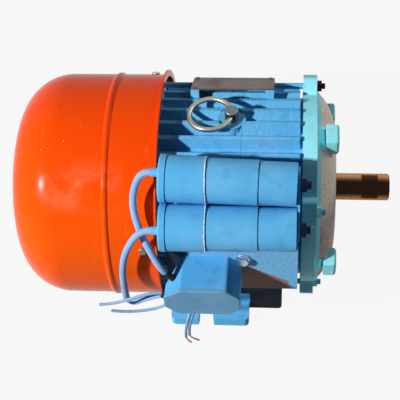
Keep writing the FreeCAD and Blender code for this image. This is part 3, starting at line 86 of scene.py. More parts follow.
class Socket:
    """A shader socket that takes part in Python expressions. Each operator adds a Math node."""

    def __init__(self, tree, link):
        self.tree = tree
        self.link = link

    def _math(self, operation, first, second):
        return self.tree.node("ShaderNodeMath", {"operation": operation}, {0: first, 1: second})

    def __add__(self, other):
        return self._math("ADD", self, other)

    __radd__ = __add__

    def __mul__(self, other):
        return self._math("MULTIPLY", self, other)

    __rmul__ = __mul__

    def __sub__(self, other):
        return self._math("SUBTRACT", self, other)

    def __rsub__(self, other):
        return self._math("SUBTRACT", other, self)

    def __pow__(self, other):
        return self._math("POWER", self, other)

    def __abs__(self):
        return self._math("ABSOLUTE", self, 0.0)

    def over(self, edge):
        return self._math("GREATER_THAN", self, edge)


class Nodes:
    """A shader tree that nodes are added to."""

    def __init__(self, owner):
        owner.use_nodes = True
        self.nodes = owner.node_tree.nodes
        self.links = owner.node_tree.links

    def find(self, kind):
        return next(node for node in self.nodes if node.bl_idname == kind)

    def node(self, kind, settings=None, inputs=None, out=0):
        """Adds a node: its settings first, then the values or links of its sockets. Returns one output."""
        made = self.nodes.new(kind)
        for key, value in (settings or {}).items():
            setattr(made, key, value)
        for key, value in (inputs or {}).items():
            self.feed(made.inputs[key], value)
        return Socket(self, made.outputs[out])

    def feed(self, socket, value):
        if isinstance(value, Socket):
            self.links.new(value.link, socket)
        else:
            socket.default_value = value


def opaque(tone):
    return (*tone, 1.0)


class Finish(Nodes):
    """One material, built from nodes."""

    def __init__(self, name):
        self.material = bpy.data.materials.new(name)
        super().__init__(self.material)
        self.shader = self.find("ShaderNodeBsdfPrincipled")
        self.place = self.node("ShaderNodeTexCoord", out="Object")

    def set(self, **values):
        """Feeds the shader's own sockets. An underscore in a name stands for a space."""
        for key, value in values.items():
            self.feed(self.shader.inputs[key.replace("_", " ")], value)
        return self

    def stretch(self, scale):
        return self.node("ShaderNodeMapping", None, {"Vector": self.place, "Scale": scale})

    def noise(self, scale, detail=4.0, rough=0.55, place=None):
        inputs = {"Vector": place or self.place, "Scale": scale, "Detail": detail, "Roughness": rough}
        return self.node("ShaderNodeTexNoise", None, inputs)

    def cells(self, scale, out="Distance"):
        return self.node("ShaderNodeTexVoronoi", None, {"Vector": self.place, "Scale": scale}, out)

    def between(self, value, low, high):
        """0 below low, 1 above high, and smooth between."""
        inputs = {"Value": value, "From Min": low, "From Max": high}
        return self.node("ShaderNodeMapRange", {"interpolation_type": "SMOOTHSTEP"}, inputs)

    def mix(self, share, first, second):
        """The first colour where the share is 0, the second where it is 1."""
        first, second = (tone if isinstance(tone, Socket) else opaque(tone) for tone in (first, second))
        inputs = {"Factor": share, MIX_FIRST: first, MIX_SECOND: second}
        return self.node("ShaderNodeMix", {"data_type": "RGBA"}, inputs, MIX_RESULT)

    def axis(self, letter):
        return self.node("ShaderNodeSeparateXYZ", None, {0: self.place}, letter)

    def past(self, letter, edge):
        """0 before a soft edge along an axis and 1 past it. The edge is where it starts and where it ends."""
        return self.between(self.axis(letter), *edge)

    def bump(self, height, distance, strength=1.0):
        inputs = {"Height": height, "Distance": distance, "Strength": strength}
        self.feed(self.shader.inputs["Normal"], self.node("ShaderNodeBump", None, inputs))
        return self


# Settings that a user would change

def length(name, description, default):
    return FloatProperty(name=name, description=description, default=default,
                         subtype="DISTANCE", unit="LENGTH")


def colour(name, description, default):
    return FloatVectorProperty(name=name, description=description, default=default,
                               subtype="COLOR", min=0, max=1)


def watts(name, description, default):
    return FloatProperty(name=name, description=description, default=default, unit="POWER", min=0)


def turn(name, description, default):
    return FloatProperty(name=name, description=description, default=default, subtype="ANGLE")


def direction(name, description, default):
    return FloatVectorProperty(name=name, description=description, default=default, subtype="DIRECTION")


class MotorFinishes(PropertyGroup):
    """Colours of the paints and bare metals, and of the painted light and shade."""
    blue: colour("Blue", "Enamel on the frame and its fins", (0.125, 0.48, 0.80))
    # A paler copy of the frame's blue: painted light on the end shields and on the nuts of the tie rods.
    lit_flange_blue: colour("Flange blue", "Chalky enamel on the end shields", (0.33, 0.88, 0.99))
    foot_blue: colour("Foot blue", "Enamel on the feet", (0.12, 0.52, 0.90))
    capacitor_blue: colour("Capacitor blue", "Enamel on the capacitors and bracket", (0.105, 0.44, 0.78))
    box_blue: colour("Box blue", "Enamel on the terminal box", (0.09, 0.42, 0.78))
    lid_blue: colour("Lid blue", "Dusty enamel on the lid", (0.145, 0.34, 0.54))
    pad_blue: colour("Pad blue", "Dusty enamel on the pad of the frame", (0.20, 0.52, 0.84))
    lead_blue: colour("Lead blue", "Enamel brushed over the leads", (0.24, 0.42, 0.67))
    # Painted shade: dark blue for the capacitor cans and their nuts at the capacitors' front ends.
    painted_shade_blue: colour("Shade blue", "Thin, dark enamel on the cans and their nuts", (0.03, 0.07, 0.16))
    # Near black painted shade, with some oil, on the lower rails, the rail side of the feet and the rear
    # corner of the pad.
    shade_and_grime: colour("Grime", "Oil and soot on the rails, the feet and the pad", (0.005, 0.004, 0.006))
    # Brown undercoat on the pad, laid below the line of the terminal box's cast shadow: painted shadow as
    # well.
    primer_and_shadow: colour("Primer", "Brown primer that shows on the pad", (0.34, 0.20, 0.18))
    orange: colour("Orange", "Enamel on the fan cover", (0.89, 0.100, 0.001))
    # Painted shade: deeper orange toward the top of the fan cover.
    top_shade_orange: colour("Deep orange", "Older enamel toward the top of the fan cover", (0.86, 0.056, 0.001))
    # Dusty, and painted sheen: the pale smear along the front of the fan cover; also the tone of its
    # scratches.
    dust_and_sheen: colour("Haze", "Dust and chalky enamel on the fan cover", (0.95, 0.33, 0.16))
    plate: colour("Plate", "Dulled metal of the nameplate", (0.11, 0.072, 0.055))
    # The near black of the painted reflection across the middle of the shaft.
    shaft: colour("Shaft", "Oil and soot on the shaft", (0.003, 0.001, 0.001))
    zinc: colour("Zinc", "Lifting ring, foot bolts and small screws", (0.42, 0.43, 0.37))
    rust: colour("Rust", "Upper nuts and ends of the tie rods", (0.15, 0.012, 0.02))
    bare_casting: colour("Bare casting", "Worn face of the drive end shield", (0.50, 0.41, 0.40))
    copper: colour("Copper", "Stripped ends of the leads", (0.64, 0.27, 0.15))


class MotorShapes(PropertyGroup):
    """Sizes of the worn edges, the leads and the trim."""
    cast_edge: length("Cast edge", "Rounding of the edges of the castings", 1.1 * MM)
    sheet_edge: length("Sheet edge", "Rounding of the edges of sheet metal", 0.35 * MM)
    fastener_edge: length("Fastener edge", "Rounding of the edges of nuts and screws", 0.4 * MM)
    lead: length("Capacitor lead", "Outer diameter of a capacitor lead", 7.0 * MM)
    tail: length("Tail", "Outer diameter of a thin lead", 3.0 * MM)
    strand: length("Strand", "Diameter of one copper strand", 0.55 * MM)
    seam_proud: length("Seam", "How far the white seam stands out of a capacitor", 0.5 * MM)


class MotorStage(PropertyGroup):
    """Camera, lamps and floor."""
    eye: FloatVectorProperty(name="Eye", description="Place of the camera",
                             default=(-46.04 * MM, -735.77 * MM, 870.89 * MM),
                             subtype="TRANSLATION", unit="LENGTH")
    yaw: turn("Yaw", "Turn of the view from +Y", -0.13227)
    pitch: turn("Pitch", "Downward tilt of the view", 0.8797)
    roll: turn("Roll", "Turn of the picture", -0.08585)
    lens: FloatProperty(name="Lens", description="Focal length in millimetres", default=96.75, min=1)
    key_way: direction("Key way", "Direction from the motor to the key lamp", (-0.68, -0.49, 0.545))
    lamp_distance: length("Lamp distance", "How far the lamps stand from the motor", 1.9)
    key_size: length("Key size", "Diameter of the round key lamp", 0.10)
    key_power: watts("Key power", "Power of the key lamp", 46.0)
    back_way: direction("Back way", "Direction from the motor to the soft box behind it", (0.74, 0.48, 0.47))
    back_size: length("Back size", "Diameter of the soft box behind the motor", 0.9)
    back_power: watts("Back power", "Power of the soft box", 11.0)
    fill: FloatProperty(name="Fill", description="Strength of the soft light from all sides",
                        default=0.03, min=0)
    floor_size: length("Floor", "Width of the floor", 8.0)


def settings():
    return bpy.context.scene.motor_finishes, bpy.context.scene.motor_shapes, bpy.context.scene.motor_stage


# Pieces

MERGE_DISTANCE = 0.005 * MM
FLAT_ANGLE = math.radians(0.2)
EDGE_ANGLE = math.radians(35)


def only(piece):
    """Leaves one object selected and active."""
    bpy.ops.object.select_all(action="DESELECT")
    piece.select_set(True)
    bpy.context.view_layer.objects.active = piece


def settle(piece, body, finish):
    """Rides a finished piece on its body and gives it its finish."""
    piece.data.materials.clear()
    piece.data.materials.append(finish)
    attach(piece, body)


def apply_all(piece):
    only(piece)
    for modifier in list(piece.modifiers):
        bpy.ops.object.modifier_apply(modifier=modifier.name)


def dressed(node, finish, edge, segments=2):
    """A copy of a CAD node with rounded edges and smooth shading. It stands for the node."""
    piece = bpy.data.objects.new(node + "_dressed", NODES[node].data.copy())
    bpy.context.scene.collection.objects.link(piece)
    only(piece)
    bpy.ops.mesh.customdata_custom_splitnormals_clear()
    bpy.ops.object.mode_set(mode="EDIT")
    bpy.ops.mesh.select_all(action="SELECT")
    bpy.ops.mesh.remove_doubles(threshold=MERGE_DISTANCE)
    bpy.ops.mesh.dissolve_limited(angle_limit=FLAT_ANGLE, use_dissolve_boundaries=False)
    bpy.ops.object.mode_set(mode="OBJECT")
    if edge:
        bevel = piece.modifiers.new("edges", "BEVEL")
        bevel.width = edge
        bevel.segments = segments
        bevel.limit_method = "ANGLE"
        bevel.angle_limit = EDGE_ANGLE
        bevel.use_clamp_overlap = True
    bpy.ops.object.shade_smooth_by_angle(angle=EDGE_ANGLE)
    normals = piece.modifiers.new("normals", "WEIGHTED_NORMAL")
    normals.keep_sharp = True
    apply_all(piece)
    settle(piece, BODY_OF[node], finish)
    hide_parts(node)
    return piece


def finish_nodes(finish, *nodes):
    """Gives CAD nodes that stay as they are a finish of their own."""
    for node in nodes:
        for slot in NODES[node].material_slots:
            slot.material = finish


# Finishes

# Two places are where a soft edge starts and ends. Three are a strip: its middle, half its width, its border.
PARTING_MARK = (-95.5 * MM, 0.25 * MM, 0.35 * MM)
PAD_FACE = (108.6 * MM, 109.4 * MM)
# The brown wedge on the pad ends at the line of the terminal box's cast shadow: undercoat and painted shadow.
WEDGE_WAY = (-0.514, 0, -0.857)
WEDGE_START = 40.3 * MM
WEDGE_EDGE = (-1.0 * MM, 0.6 * MM)
WEDGE_REAR = (-96 * MM, -93 * MM)
WEDGE_FRONT = (-47.5 * MM, -45.5 * MM)
# Where the painted shade on the pad's rear corner, on the lower rails and on the feet ends.
PAD_CORNER = (-147 * MM, -143 * MM)
RAIL_TOP = (-82 * MM, -70 * MM)
FOOT_RAIL = (-88.9 * MM, -88.3 * MM)
UPPER_RODS = (70 * MM, 74 * MM)
ROD_ENDS = (-22 * MM, -20 * MM)
# Where the painted shade toward the top of the fan cover starts and ends.
COVER_SHADED_TOP = (-10 * MM, 118 * MM)
# The pale smear lies where the cover faces the camera: dusty, and painted sheen.
SHEEN_SMEAR_WAY = (0, -0.68, 0.73)
SHEEN_SMEAR_REACH = (111 * MM, 120 * MM)
SHEEN_SMEAR_END = (-215 * MM, -205 * MM)
FACE_LOW = (-25 * MM, 45 * MM)
# Where the paler top of the drive face starts: dusty, and painted light.
FACE_HIGH = (30 * MM, 62 * MM)
# The painted reflection on the shaft: its way across, its dark middle, its bright sides and a dark ring.
REFLECTION_WAY = (0, 0.77, 0.637)
DARK_REFLECTION_MIDDLE = -1.2 * MM
BRIGHT_REFLECTION_EDGE = (3.5 * MM, 13.5 * MM)
DARK_REFLECTION_COLLAR = (35.5 * MM, 7.5 * MM, 2.0 * MM)
COLLAR_EDGE = (11.5 * MM, 13.0 * MM)

PALE_CHIP = (0.66, 0.82, 0.92)
DARK_CHIP = (0.012, 0.035, 0.075)
PALE_ORANGE = (0.92, 0.62, 0.45)
BURNT_ORANGE = (0.10, 0.012, 0.004)
CAST_STAIN = (0.10, 0.075, 0.065)
CAST_REDDISH = (0.74, 0.40, 0.32)
# Pale tone of the top of the drive face: dusty, and painted light.
CAST_DUST_AND_LIGHT = (0.96, 0.82, 0.66)
CAST_PITS = (0.03, 0.02, 0.02)
# Tones of the bright sides of the shaft's painted reflection.
REFLECTED_TAN = (0.62, 0.34, 0.18)
REFLECTED_BROWN = (0.20, 0.07, 0.03)
SHAFT_TINT = (0.62, 0.42, 0.30)
SEAM_WHITE = (0.90, 0.93, 0.93)
SEAM_BLUE = (0.18, 0.45, 0.70)


class Paint(Finish):
    """A finish with the marks that old enamel has."""

    def specks(self, scale, share, size):
        """Scattered round spots: 1 inside, 0 outside. The share is the part of the cells that hold one."""
        pick = self.node("ShaderNodeSeparateColor", None, {0: self.cells(scale, out="Color")}, 0)
        return (1 - self.between(self.cells(scale), 0.5 * size, size)) * pick.over(1 - share)

    def band(self, letter, place, half, soft):
        """1 on a strip across one axis, 0 away from it: its middle, half its width and its soft border."""
        return 1 - self.between(abs(self.axis(letter) - place), half, half + soft)

    def toward(self, way):
        """How far a point lies from the origin along a direction."""
        inputs = {0: self.place, 1: way}
        return self.node("ShaderNodeVectorMath", {"operation": "DOT_PRODUCT"}, inputs, "Value")


def lighter(tone, share):
    return tuple(value + (1 - value) * share for value in tone)


def darker(tone, share):
    return tuple(value * (1 - share) for value in tone)


class Enamel(Paint):
    """Brushed enamel over a cast or pressed skin."""

    def __init__(self, name, tone, chips):
        super().__init__(name)
        worn = self.between(self.noise(24, 6), 0.42, 0.72)
        thick = self.between(self.noise(70, 4), 0.50, 0.74)
        tone_now = self.mix(worn * 0.50, tone, lighter(tone, 0.12))
        tone_now = self.mix(thick * 0.40, tone_now, darker(tone, 0.35))
        tone_now = self.mix(self.specks(300, chips, 0.20) * 0.65, tone_now, PALE_CHIP)
        self.tone = self.mix(self.specks(210, chips * 0.6, 0.15) * 0.80, tone_now, DARK_CHIP)

    def coat(self, share, tone):
        """Lays another tone over the enamel where the share is high."""
        self.tone = self.mix(share, self.tone, tone)

    def skin(self, grain, gloss):
        """Ends the finish with a grain of that height and the shine of the paint."""
        shine = gloss + 0.22 * self.noise(90, 4)
        self.set(Base_Color=self.tone, Roughness=shine, Specular_IOR_Level=0.04)
        return self.bump(self.noise(520, 4) + 0.8 * self.noise(190, 3), grain).material


def blue_enamel(name, tone, grain, gloss, chips):
    return Enamel(name, tone, chips).skin(grain, gloss)


def frame_enamel():
    """Enamel on the finned frame, with a mark across the fins.

    The pad has dusty enamel, a brown wedge of undercoat and painted shadow, and a corner in painted shade;
    the rails are near black with painted shade and some oil.
    """
    finishes = settings()[0]
    f = Enamel("frame enamel", finishes.blue, chips=0.16)
    parting = f.band("X", *PARTING_MARK) * f.between(f.noise(60, 3), 0.40, 0.55)
    f.coat(parting * 0.6, darker(finishes.blue, 0.6))
    pad = f.between(-1 * f.axis("Y"), *PAD_FACE)
    f.coat(pad * 0.9, finishes.pad_blue)
    # Brown undercoat and painted shadow below the line of the terminal box's cast shadow.
    under = f.between(f.toward(WEDGE_WAY) - WEDGE_START, *WEDGE_EDGE)
    wedge = under * f.past("X", WEDGE_REAR) * (1 - f.past("X", WEDGE_FRONT))
    f.coat(pad * wedge, finishes.primer_and_shadow)
    # Painted shade: the pad's rear corner, left of the terminal box, near black.
    corner = pad * (1 - f.past("X", PAD_CORNER))
    f.coat(corner * 0.95, finishes.shade_and_grime)
    # Painted shade with some oil: the lower rails near black.
    rail = 1 - f.past("Z", RAIL_TOP)
    f.coat(rail * 0.97, finishes.shade_and_grime)
    return f.skin(grain=0.7 * MM, gloss=0.30)


def foot_enamel():
    """Enamel on the feet, near black along the rail that carries the frame: painted shade with some oil."""
    finishes = settings()[0]
    f = Enamel("foot enamel", finishes.foot_blue, chips=0.06)
    # Painted shade with some oil along the rail.
    ahead = f.past("X", FOOT_RAIL)
    f.coat(ahead * 0.97, finishes.shade_and_grime)
    return f.skin(grain=0.25 * MM, gloss=0.32)


def rod_enamel():
    """Enamel on the tie rods, rusted through on the threaded ends of the upper ones."""
    finishes = settings()[0]
    f = Enamel("rod enamel", finishes.blue, chips=0.05)
    f.coat(f.past("Z", UPPER_RODS) * f.past("X", ROD_ENDS), finishes.rust)
    return f.skin(grain=0.1 * MM, gloss=0.3)


def nut_enamel():
    """The end shields' paler blue, which is painted light, on the nuts of the tie rods, rusted through on the
    upper ones.
    """
    finishes = settings()[0]
    f = Enamel("nut paint", finishes.lit_flange_blue, chips=0.05)
    f.coat(f.past("Z", UPPER_RODS), finishes.rust)
    return f.skin(grain=0.1 * MM, gloss=0.45)


def cover_enamel():
    """Glossy orange enamel with painted shade toward the top, and a pale dusty smear along the front that is
    painted sheen as well.
    """
    finishes = settings()[0]
    f = Paint("cover enamel")
    # Painted shade toward the top.
    upper = f.past("Z", COVER_SHADED_TOP)
    cloud = f.between(f.noise(11, 5), 0.38, 0.68)
    # Pale dusty smear along the front, which is painted sheen as well.
    front = f.between(f.toward(SHEEN_SMEAR_WAY), *SHEEN_SMEAR_REACH) * (1 - f.past("X", SHEEN_SMEAR_END))
    chalk = f.between(f.noise(30, 7, 0.65), 0.40, 0.72) * front
    scratch = f.between(f.noise(420, 2, place=f.stretch((1, 0.06, 0.06))), 0.69, 0.74)
    tone = f.mix(upper * 0.75 + cloud * 0.15, finishes.orange, finishes.top_shade_orange)
    tone = f.mix(chalk * 0.70, tone, finishes.dust_and_sheen)
    tone = f.mix(scratch * 0.20, tone, finishes.dust_and_sheen)
    tone = f.mix(f.specks(90, 0.07, 0.07) * 0.8, tone, PALE_ORANGE)
    tone = f.mix(f.specks(120, 0.05, 0.08) * 0.7, tone, BURNT_ORANGE)
    f.set(Base_Color=tone, Roughness=0.18 + chalk * 0.20 + 0.06 * f.noise(60, 3), Specular_IOR_Level=0.06)
    return f.bump(f.noise(14, 2) + 0.02 * f.noise(420, 3), distance=0.9 * MM, strength=0.6).material


def bare_casting():
    """Worn casting on the face of the drive end shield: stained, reddish below, and paler above, which is
    dusty and painted light.
    """
    finishes = settings()[0]
    f = Paint("bare casting")
    stain = f.between(f.noise(34, 6), 0.35, 0.70)
    low = 1 - f.past("Z", FACE_LOW)
    # Paler toward the top: dusty, and painted light.
    dust_and_light = f.past("Z", FACE_HIGH)
    tone = f.mix(stain * 0.6, finishes.bare_casting, CAST_STAIN)
    tone = f.mix(low * 0.8, tone, CAST_REDDISH)
    tone = f.mix(dust_and_light * 0.9, tone, CAST_DUST_AND_LIGHT)
    tone = f.mix(f.specks(150, 0.18, 0.2) * 0.8, tone, CAST_PITS)
    f.set(Base_Color=tone, Roughness=0.50 + 0.25 * f.noise(80, 4), Specular_IOR_Level=0.25)
    return f.bump(f.noise(380, 4) + f.noise(120, 3), distance=1.1 * MM).material


def metal(name, tone, shade, rough, streak=(1, 1, 1), metallic=1.0, scale=160, relief=0.02 * MM):
    """Bare or plated metal with streaks, stains and a fine grain."""
    f = Paint(name)
    lines = f.noise(scale, 4, place=f.stretch(streak))
    stain = f.between(f.noise(45, 5), 0.40, 0.75)
    base = f.mix(lines * 0.6 + stain * 0.35, tone, shade)
    f.set(Base_Color=base, Roughness=rough + 0.25 * stain + 0.10 * lines, Metallic=metallic)
    return f.bump(lines, relief).material


def reflection_painted_steel():
    """Dark steel with a painted reflection: near black along the middle as the shaft faces the camera at
    rest, tan along two sides and dark on a ring, with turning marks round it.
    """
    finishes = settings()[0]
    f = Paint("oiled shaft")
    lines = f.noise(260, 3, place=f.stretch((5, 0.1, 0.1)))
    across = f.toward(REFLECTION_WAY)
    # Painted reflection: bright along two sides, dark between them and on a ring.
    bright_reflection = f.between(abs(across - DARK_REFLECTION_MIDDLE), *BRIGHT_REFLECTION_EDGE) ** 2.4
    collar = f.band("X", *DARK_REFLECTION_COLLAR) * (1 - f.between(abs(across), *COLLAR_EDGE))
    dark_reflection = 1 - bright_reflection * (1 - collar * 0.9)
    tan = f.mix(lines * 0.6, REFLECTED_TAN, REFLECTED_BROWN)
    f.set(Base_Color=f.mix(dark_reflection * 0.97, tan, finishes.shaft), Roughness=0.20 + 0.15 * lines,
          Metallic=1.0, Specular_Tint=opaque(SHAFT_TINT))
    return f.bump(lines, distance=0.02 * MM).material


def moulded(name, tone, shade, rough):
    """Rubber, plastic or board with a fine moulded grain."""
    f = Paint(name)
    base = f.mix(f.noise(60, 5), tone, shade)
    f.set(Base_Color=base, Roughness=rough + 0.2 * f.noise(140, 3), Specular_IOR_Level=0.15)
    return f.bump(f.noise(700, 3), distance=0.05 * MM).material


def white_seam():
    """Chalky white paint that has run out of a capacitor's seam."""
    f = Paint("white seam")
    painted = f.between(f.noise(420, 4), 0.52, 0.70)
    f.set(Base_Color=f.mix(painted, SEAM_WHITE, SEAM_BLUE), Roughness=0.6 + 0.2 * f.noise(200))
    return f.bump(f.noise(900, 3), distance=0.15 * MM).material


# Leads. The points of a route are in millimetres, in the frame of the motor, and a length is in metres.

UPPER_ROUTE = [(-177.0, -82.0, 113.7), (-183.0, -82.0, 113.7), (-190.8, -85.2, 107.3),
               (-196.2, -95.6, 89.6), (-193.1, -107.0, 71.4), (-185.5, -118.3, 54.2),
               (-175.5, -128.8, 38.8), (-169.8, -134.0, 31.2), (-166.4, -134.0, 26.2)]
LOWER_ROUTE = [(-177.0, -119.3, 72.3), (-183.0, -119.3, 72.3), (-194.3, -122.7, 65.4),
               (-205.7, -126.4, 41.1), (-209.8, -128.1, 14.5), (-210.6, -128.9, -13.1),
               (-210.1, -129.0, -26.8)]
NEAR_TAIL_ROUTE = [(-210.0, -130.8, -29.1), (-203.7, -135.1, -29.1), (-195.9, -138.8, -20.4),
                   (-187.9, -141.6, -11.7), (-179.0, -143.9, -3.9), (-170.8, -145.3, 1.0)]
FAR_TAIL_ROUTE = [(-210.0, -127.2, -29.1), (-203.7, -131.5, -29.1), (-195.9, -135.2, -20.4),
                  (-187.9, -138.0, -11.7), (-179.0, -140.3, -3.9), (-170.8, -141.7, 1.0)]
UPPER_LOOSE_ROUTE = [(-170.3, -143.5, 4.7), (-181.6, -145.0, 4.7), (-195.1, -146.6, 0.8),
                     (-208.2, -148.0, -4.7), (-221.7, -149.2, -9.1), (-233.0, -150.0, -9.0)]
LOWER_LOOSE_ROUTE = [(-163.2, -143.5, -12.9), (-172.0, -144.0, -19.4), (-184.9, -145.6, -23.1),
                     (-198.4, -147.6, -23.4), (-211.8, -149.7, -21.2), (-222.0, -151.0, -18.0)]
FIRST_HANGING_ROUTE = [(-141.8, -139.0, -19.3), (-143.9, -140.2, -29.6), (-147.0, -141.2, -42.3),
                       (-149.9, -141.6, -55.4), (-151.8, -141.4, -68.4), (-152.0, -141.0, -79.0)]
SECOND_HANGING_ROUTE = [(-138.2, -139.0, -19.3), (-140.4, -140.1, -29.1), (-143.4, -140.9, -41.4),
                        (-146.2, -140.9, -53.5), (-148.0, -140.5, -65.9), (-148.3, -140.0, -76.0)]
FIRST_BARE_ROUTE = [(-152.0, -141.0, -79.3), (-151.3, -140.8, -83.0),
                    (-149.5, -140.6, -87.3), (-147.0, -140.5, -90.0)]
SECOND_BARE_ROUTE = [(-148.3, -140.0, -76.3), (-146.8, -139.8, -80.7),
                     (-142.8, -139.6, -84.9), (-138.6, -139.5, -87.0)]
UPPER_LENGTH = 0.118
LOWER_LENGTH = 0.114
TAIL_LENGTH = 0.053
UPPER_LOOSE_LENGTH = 0.065
LOWER_LOOSE_LENGTH = 0.062
FIRST_HANGING_LENGTH = 0.061
SECOND_HANGING_LENGTH = 0.0575
STEPS_ALONG = 16
STEPS_ROUND = 6
STRANDS = 7
STRAND_STEPS = 2
STRAND_TWIST = 5.0
STRAND_SPREAD = 0.25
STRAND_ANGLE = math.radians(40)


def metres(point):
    return Vector(point) * MM


def smooth_line(name, points, thickness=0.0):
    """An open NURBS curve with the points of a route as its control points."""
    curve = bpy.data.curves.new(name, "CURVE")
    curve.dimensions = "3D"
    curve.resolution_u = STEPS_ALONG
    curve.bevel_depth = thickness / 2
    curve.bevel_resolution = STEPS_ROUND
    curve.use_fill_caps = True
    spline = curve.splines.new("NURBS")
    spline.points.add(len(points) - 1)
    for control, point in zip(spline.points, points):
        control.co = (*point, 1.0)
    spline.order_u = 3
    spline.use_endpoint_u = True
    piece = bpy.data.objects.new(name, curve)
    bpy.context.scene.collection.objects.link(piece)
    return piece


def lead(name, node, route, thickness, whole, finish, far_end="bare", lay="loose", pieces=()):
    """A lead along its route, in place of the plain tube. The whole, the far end, the lay and the pieces are
    not used.
    """
    piece = smooth_line(name, [metres(point) for point in route], thickness)
    settle(piece, BODY_OF[node], finish)
    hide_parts(node)


def line_points(route):
    """Points along the smooth curve of a route."""
    guide = smooth_line("guide", [metres(point) for point in route])
    bpy.context.view_layer.update()
    mesh = bpy.data.meshes.new_from_object(guide)
    points = [vertex.co.copy() for vertex in mesh.vertices]
    bpy.data.meshes.remove(mesh)
    bpy.data.objects.remove(guide)
    return points


def twisted_copper(name, route, finish):
    """The stripped end of a lead: strands laid round a middle one, spreading a little at the tip."""
    shapes = settings()[1]
    points = line_points(route)
    strands = []
    outer = STRANDS - 1
    for index in range(STRANDS):
        start = 2 * math.pi * index / outer
        laid = []
        for step, point in enumerate(points):
            share = step / (len(points) - 1)
            ahead = points[min(step + 1, len(points) - 1)] - points[max(step - 1, 0)]
            side = ahead.cross(Vector((0, 1, 0))).normalized()
            over = ahead.normalized().cross(side)
            angle = start + STRAND_TWIST * share
            reach = 0.0 if index == outer else shapes.strand * (1.0 + STRAND_SPREAD * share)
            laid.append(point + side * (reach * math.cos(angle)) + over * (reach * math.sin(angle)))
        strands.append(smooth_line(name, laid, shapes.strand))
    bpy.ops.object.select_all(action="DESELECT")
    for strand in strands:
        strand.data.bevel_resolution = STRAND_STEPS
        strand.data.resolution_u = STRAND_STEPS
        strand.select_set(True)
    bpy.context.view_layer.objects.active = strands[0]
    bpy.ops.object.convert(target="MESH")
    bpy.ops.object.join()
    piece = bpy.context.view_layer.objects.active
    piece.name = name
    bpy.ops.object.shade_smooth_by_angle(angle=STRAND_ANGLE)
    settle(piece, BODY_OF["hanging_copper"], finish)
    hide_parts("hanging_copper")
    return piece


# Operators

class MOTOR_OT_leads(Operator):
    """Lays the capacitor leads, the loose leads and the hanging leads"""
    bl_idname = "motor.leads"
    bl_label = "Leads"

    def execute(self, context):
        finishes, shapes, _ = settings()
        sleeve = blue_enamel("sleeve enamel", finishes.lead_blue, grain=0.12 * MM, gloss=0.40, chips=0.30)
        thin = blue_enamel("thin lead enamel", finishes.lead_blue, grain=0.05 * MM, gloss=0.42, chips=0.03)
        copper = metal("stripped copper", finishes.copper, shade=(0.30, 0.10, 0.06), rough=0.28, scale=600)
        lead("upper_lead", "upper_capacitor_lead", UPPER_ROUTE, shapes.lead, UPPER_LENGTH, sleeve, "object")
        lead("lower_lead", "lower_capacitor_lead", LOWER_ROUTE, shapes.lead, LOWER_LENGTH, sleeve,
             lay="hanging")
        lead("near_tail", "lower_lead_tails", NEAR_TAIL_ROUTE, shapes.tail, TAIL_LENGTH, thin, "object")
        lead("far_tail", "lower_lead_tails", FAR_TAIL_ROUTE, shapes.tail, TAIL_LENGTH, thin, "object")
        lead("upper_loose", "upper_loose_lead", UPPER_LOOSE_ROUTE, shapes.tail, UPPER_LOOSE_LENGTH, thin)
        lead("lower_loose", "lower_loose_lead", LOWER_LOOSE_ROUTE, shapes.tail, LOWER_LOOSE_LENGTH, thin)
        first = twisted_copper("first_bare_end", FIRST_BARE_ROUTE, copper)
        second = twisted_copper("second_bare_end", SECOND_BARE_ROUTE, copper)
        lead("first_hanging", "hanging_lead_one", FIRST_HANGING_ROUTE, shapes.tail,
             FIRST_HANGING_LENGTH, thin, lay="hanging", pieces=[first])
        lead("second_hanging", "hanging_lead_two", SECOND_HANGING_ROUTE, shapes.tail,
             SECOND_HANGING_LENGTH, thin, lay="hanging", pieces=[second])
        return {"FINISHED"}


class MOTOR_OT_castings(Operator):
    """Dresses the frame, the end shields, the feet and the tie rods"""
    bl_idname = "motor.castings"
    bl_label = "Castings"

    def execute(self, context):
        finishes, shapes, _ = settings()
        # The end shields take the paler blue of painted light.
        enamel = blue_enamel("cast enamel", finishes.lit_flange_blue, grain=0.45 * MM, gloss=0.32, chips=0.10)
        foot = foot_enamel()
        dressed("stator_frame", frame_enamel(), shapes.cast_edge)
        shield = dressed("drive_end_shield", enamel, shapes.cast_edge)
        shield.data.materials.append(bare_casting())
        wear_dome(shield)
        dressed("fan_end_shield", enamel, shapes.cast_edge)
        dressed("near_foot", foot, shapes.cast_edge)
        dressed("far_foot", foot, shapes.cast_edge)
        dressed("tie_rods", rod_enamel(), shapes.fastener_edge)
        return {"FINISHED"}


LUG_TURN = math.radians(9)
LUG_HALF = 11.4 * MM
LUG_INNER = 78.6 * MM
DOME_RADIUS = 96.6 * MM
DOME_AHEAD = 17.9 * MM


def wear_dome(shield):
    """Gives the second finish to the domed face between the lugs, which starts well ahead of the frame."""
    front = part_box("stator_frame")[1].x + DOME_AHEAD
    upright = Matrix.Rotation(-LUG_TURN, 3, "X")
    for face in shield.data.polygons:
        middle = upright @ face.center
        across = math.hypot(middle.y, middle.z)
        on_lug = min(abs(middle.y), abs(middle.z)) < LUG_HALF and across > LUG_INNER
        if middle.x > front and across < DOME_RADIUS and not on_lug:
            face.material_index = 1


class MOTOR_OT_cover(Operator):
    """Dresses the fan cover and its screws"""
    bl_idname = "motor.cover"
    bl_label = "Fan cover"

    def execute(self, context):
        finishes, shapes, _ = settings()
        zinc = metal("screw zinc", finishes.zinc, shade=(0.16, 0.15, 0.13), rough=0.32)
        dressed("fan_cover", cover_enamel(), shapes.sheet_edge)
        dressed("fan_cover_screws", zinc, shapes.fastener_edge)
        return {"FINISHED"}


